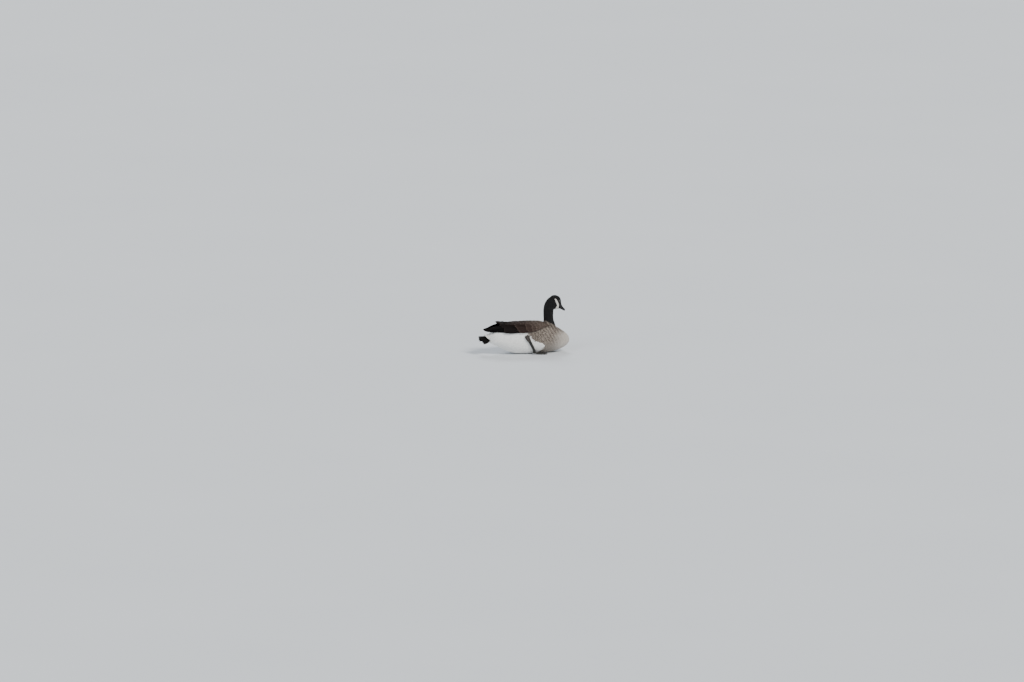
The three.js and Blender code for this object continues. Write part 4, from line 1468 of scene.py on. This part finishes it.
def toe_rule(path, radius):
    """A toe with three pads under its joints."""
    knuckles = np.array(
        [[0, 1.1], [0.22, 0.92], [0.3, 1.05], [0.5, 0.8], [0.6, 0.98], [0.78, 0.7], [0.86, 0.85], [1, 0.42]]
    )
    table = np.stack([knuckles[:, 0], knuckles[:, 1] * radius, knuckles[:, 1] * radius * 0.9], 1)
    tube = tube_rule(path, table, 0)

    def rule(t, angle):
        p = tube(t, angle)
        p[:, 2] = np.maximum(p[:, 2], SOLE_LOWEST)
        return p

    return rule


def web_rule(side, first, second):
    """A sheet between two toes, its front edge hollow, sagging a little between them."""

    def rule(t, angle):
        upper = angle < math.pi
        share = np.where(upper, angle / math.pi, 2 - angle / math.pi)
        slack = 1 - 0.2 * np.sin(share * np.pi)
        reach = t * mix(first[1], second[1], share) * 0.93 * slack
        x, y = from_joint(side, mix(first[0], second[0], share), reach)
        far = reach / 70
        middle = 10 * np.maximum(1 - far, 0) ** 2.2 + 2.2 + 0.35 * np.sin(share * 31) * t
        rim = np.sin(share * np.pi) ** 0.3
        return np.stack([x, y, middle + np.where(upper, 0.75, -0.75) * (0.3 + 0.7 * rim)], -1)

    return rule


def leg_forms(side):
    leg = smooth_line(LEG_LINE) * [1, side, 1]
    forms = [wrap("tarsus", 120, 40, tube_rule(leg, LEG, 0))]
    paths = [leg]
    for spread, length, radius in TOES:
        path = toe_path(side, spread, length)
        forms.append(wrap("toe", 70, 24, toe_rule(path, radius)))
        paths.append(path)
    ball = np.array([[0, -3, 26], [0, -1, 14], [6, 0, 8]]) + TOE_JOINT * [1, 1, 0]
    pad = np.array([[0, 6, 6.5], [0.35, 9.5, 10], [0.7, 8.5, 9], [1, 3, 3]])
    forms.append(wrap("toe", 24, 28, tube_rule(smooth_line(ball * [1, side, 1]), pad, 0)))
    start = TOE_JOINT * [1, side, 1] + [-2, 0, 4]
    spread, length, radius = HIND_TOE
    hind = smooth_line([start, foot_point(side, spread, -12, 10.5), foot_point(side, spread, length, 5)])
    forms.append(wrap("toe", 30, 20, toe_rule(hind, radius)))
    forms += [wrap("web", 60, 60, web_rule(side, *pair)) for pair in zip(TOES[:-1], TOES[1:])]
    return forms, paths + [hind]


leather = Paint("leg_leather", Roughness=0.5, Specular_IOR_Level=0.3)
along, around = leather.uv("Scutes")
front = leather.attribute("Front")
plates = along.wave().size() ** 0.35
cells = {"Vector": leather.place(), "Scale": 400}
net = leather.node("ShaderNodeTexVoronoi", {"feature": "DISTANCE_TO_EDGE"}, cells)
scales = net.rise(0.02, 0.16)
skin_net = leather.grain(700, 4)
height = plates * front + scales * (1 - front) * 0.8 + skin_net * 0.15
dust = leather.grain(60, 5, roughness=0.65)
tone = leather.blend(dust.rise(0.3, 0.75), (0.012, 0.0115, 0.011), (0.04, 0.038, 0.035))
tone = leather.blend((1 - height.rise(0.1, 0.75)) * 0.6, tone, (0.3, 0.29, 0.27), "MULTIPLY")
leather.feed(Base_Color=tone, Roughness=skin_net * 0.25 + 0.36, Normal=leather.bump(height, 0.0005, 0.7))
claw_horn = Paint("claw_horn", Roughness=0.35)
streaks = claw_horn.grain(500, 4)
claw_horn.feed(Base_Color=claw_horn.blend(streaks, (0.012, 0.011, 0.01), (0.06, 0.052, 0.045)))

# %% Legs and feet
for side, word in SIDES:
    forms, paths = leg_forms(side)
    leg = merge("leg_and_foot_" + word, forms)
    apply(leg, "REMESH", mode="VOXEL", voxel_size=LEG_VOXEL, adaptivity=0)
    apply(leg, "SMOOTH", factor=0.6, iterations=9)
    co = vertex_rows(leg) / MM
    co[:, 2] = np.maximum(co[:, 2], SOLE_LOWEST / 2)
    leg.data.vertices.foreach_set("co", (co * MM).ravel())
    best, along, rise = np.full(len(co), 99.0), np.zeros(len(co)), np.zeros(len(co))
    for n, path in enumerate(paths):
        gap = np.linalg.norm(co[:, None] - path[None, ::3], axis=2)
        nearest = gap.argmin(1)
        distance = gap.min(1)
        lengths = np.concatenate([[0], np.cumsum(np.linalg.norm(np.diff(path, axis=0), axis=1))])[::3]
        closer = distance < best
        best = np.where(closer, distance, best)
        along = np.where(closer, lengths[nearest], along)
        away = co - path[::3][nearest]
        ahead = away[:, 0] if n == 0 else away[:, 2]
        rise = np.where(closer, ahead / np.maximum(distance, 0.1), rise)
    front = step(0.25, 0.6, rise) * step(7.5, 5.5, best * np.where(co[:, 2] > 22, 0.5, 1))
    loops = np.empty(len(leg.data.loops), int)
    leg.data.loops.foreach_get("vertex_index", loops)
    scutes = np.stack([along / SCUTE * np.pi, rise], 1)[loops]
    leg.data.uv_layers.new(name="Scutes").data.foreach_set("uv", scutes.ravel())
    layer = leg.data.attributes.new("Front", "FLOAT", "POINT")
    layer.data.foreach_set("value", front)
    shade(leg, leather.material)
    hand_in(leg, "leg_" + word, "leg_" + word, "foot_" + word)
    claws = []
    for spread, length, _ in TOES + [HIND_TOE]:
        back = -1 if length < 0 else 1
        tip = length + CLAW * back * (1 if length > 0 else 0.6)
        base_height = 3.8 if length > 0 else 5
        stops = [(length - 3 * back, base_height), (mix(length, tip, 0.5), base_height - 0.1), (tip, 1.1)]
        curve = smooth_line([foot_point(side, spread, *stop) for stop in stops])
        size = 1.0 if length > 0 else 0.7
        table = np.array([[0, 1.7, 1.9], [0.3, 2.0, 2.1], [0.7, 1.5, 1.2], [1, 0.35, 0.35]]) * [1, size, size]
        claws.append(wrap("claw", 24, 16, tube_rule(curve, table, 0)))
    claws = merge("claws_" + word, claws)
    shade(claws, claw_horn.material)
    hand_in(claws, "foot_" + word)
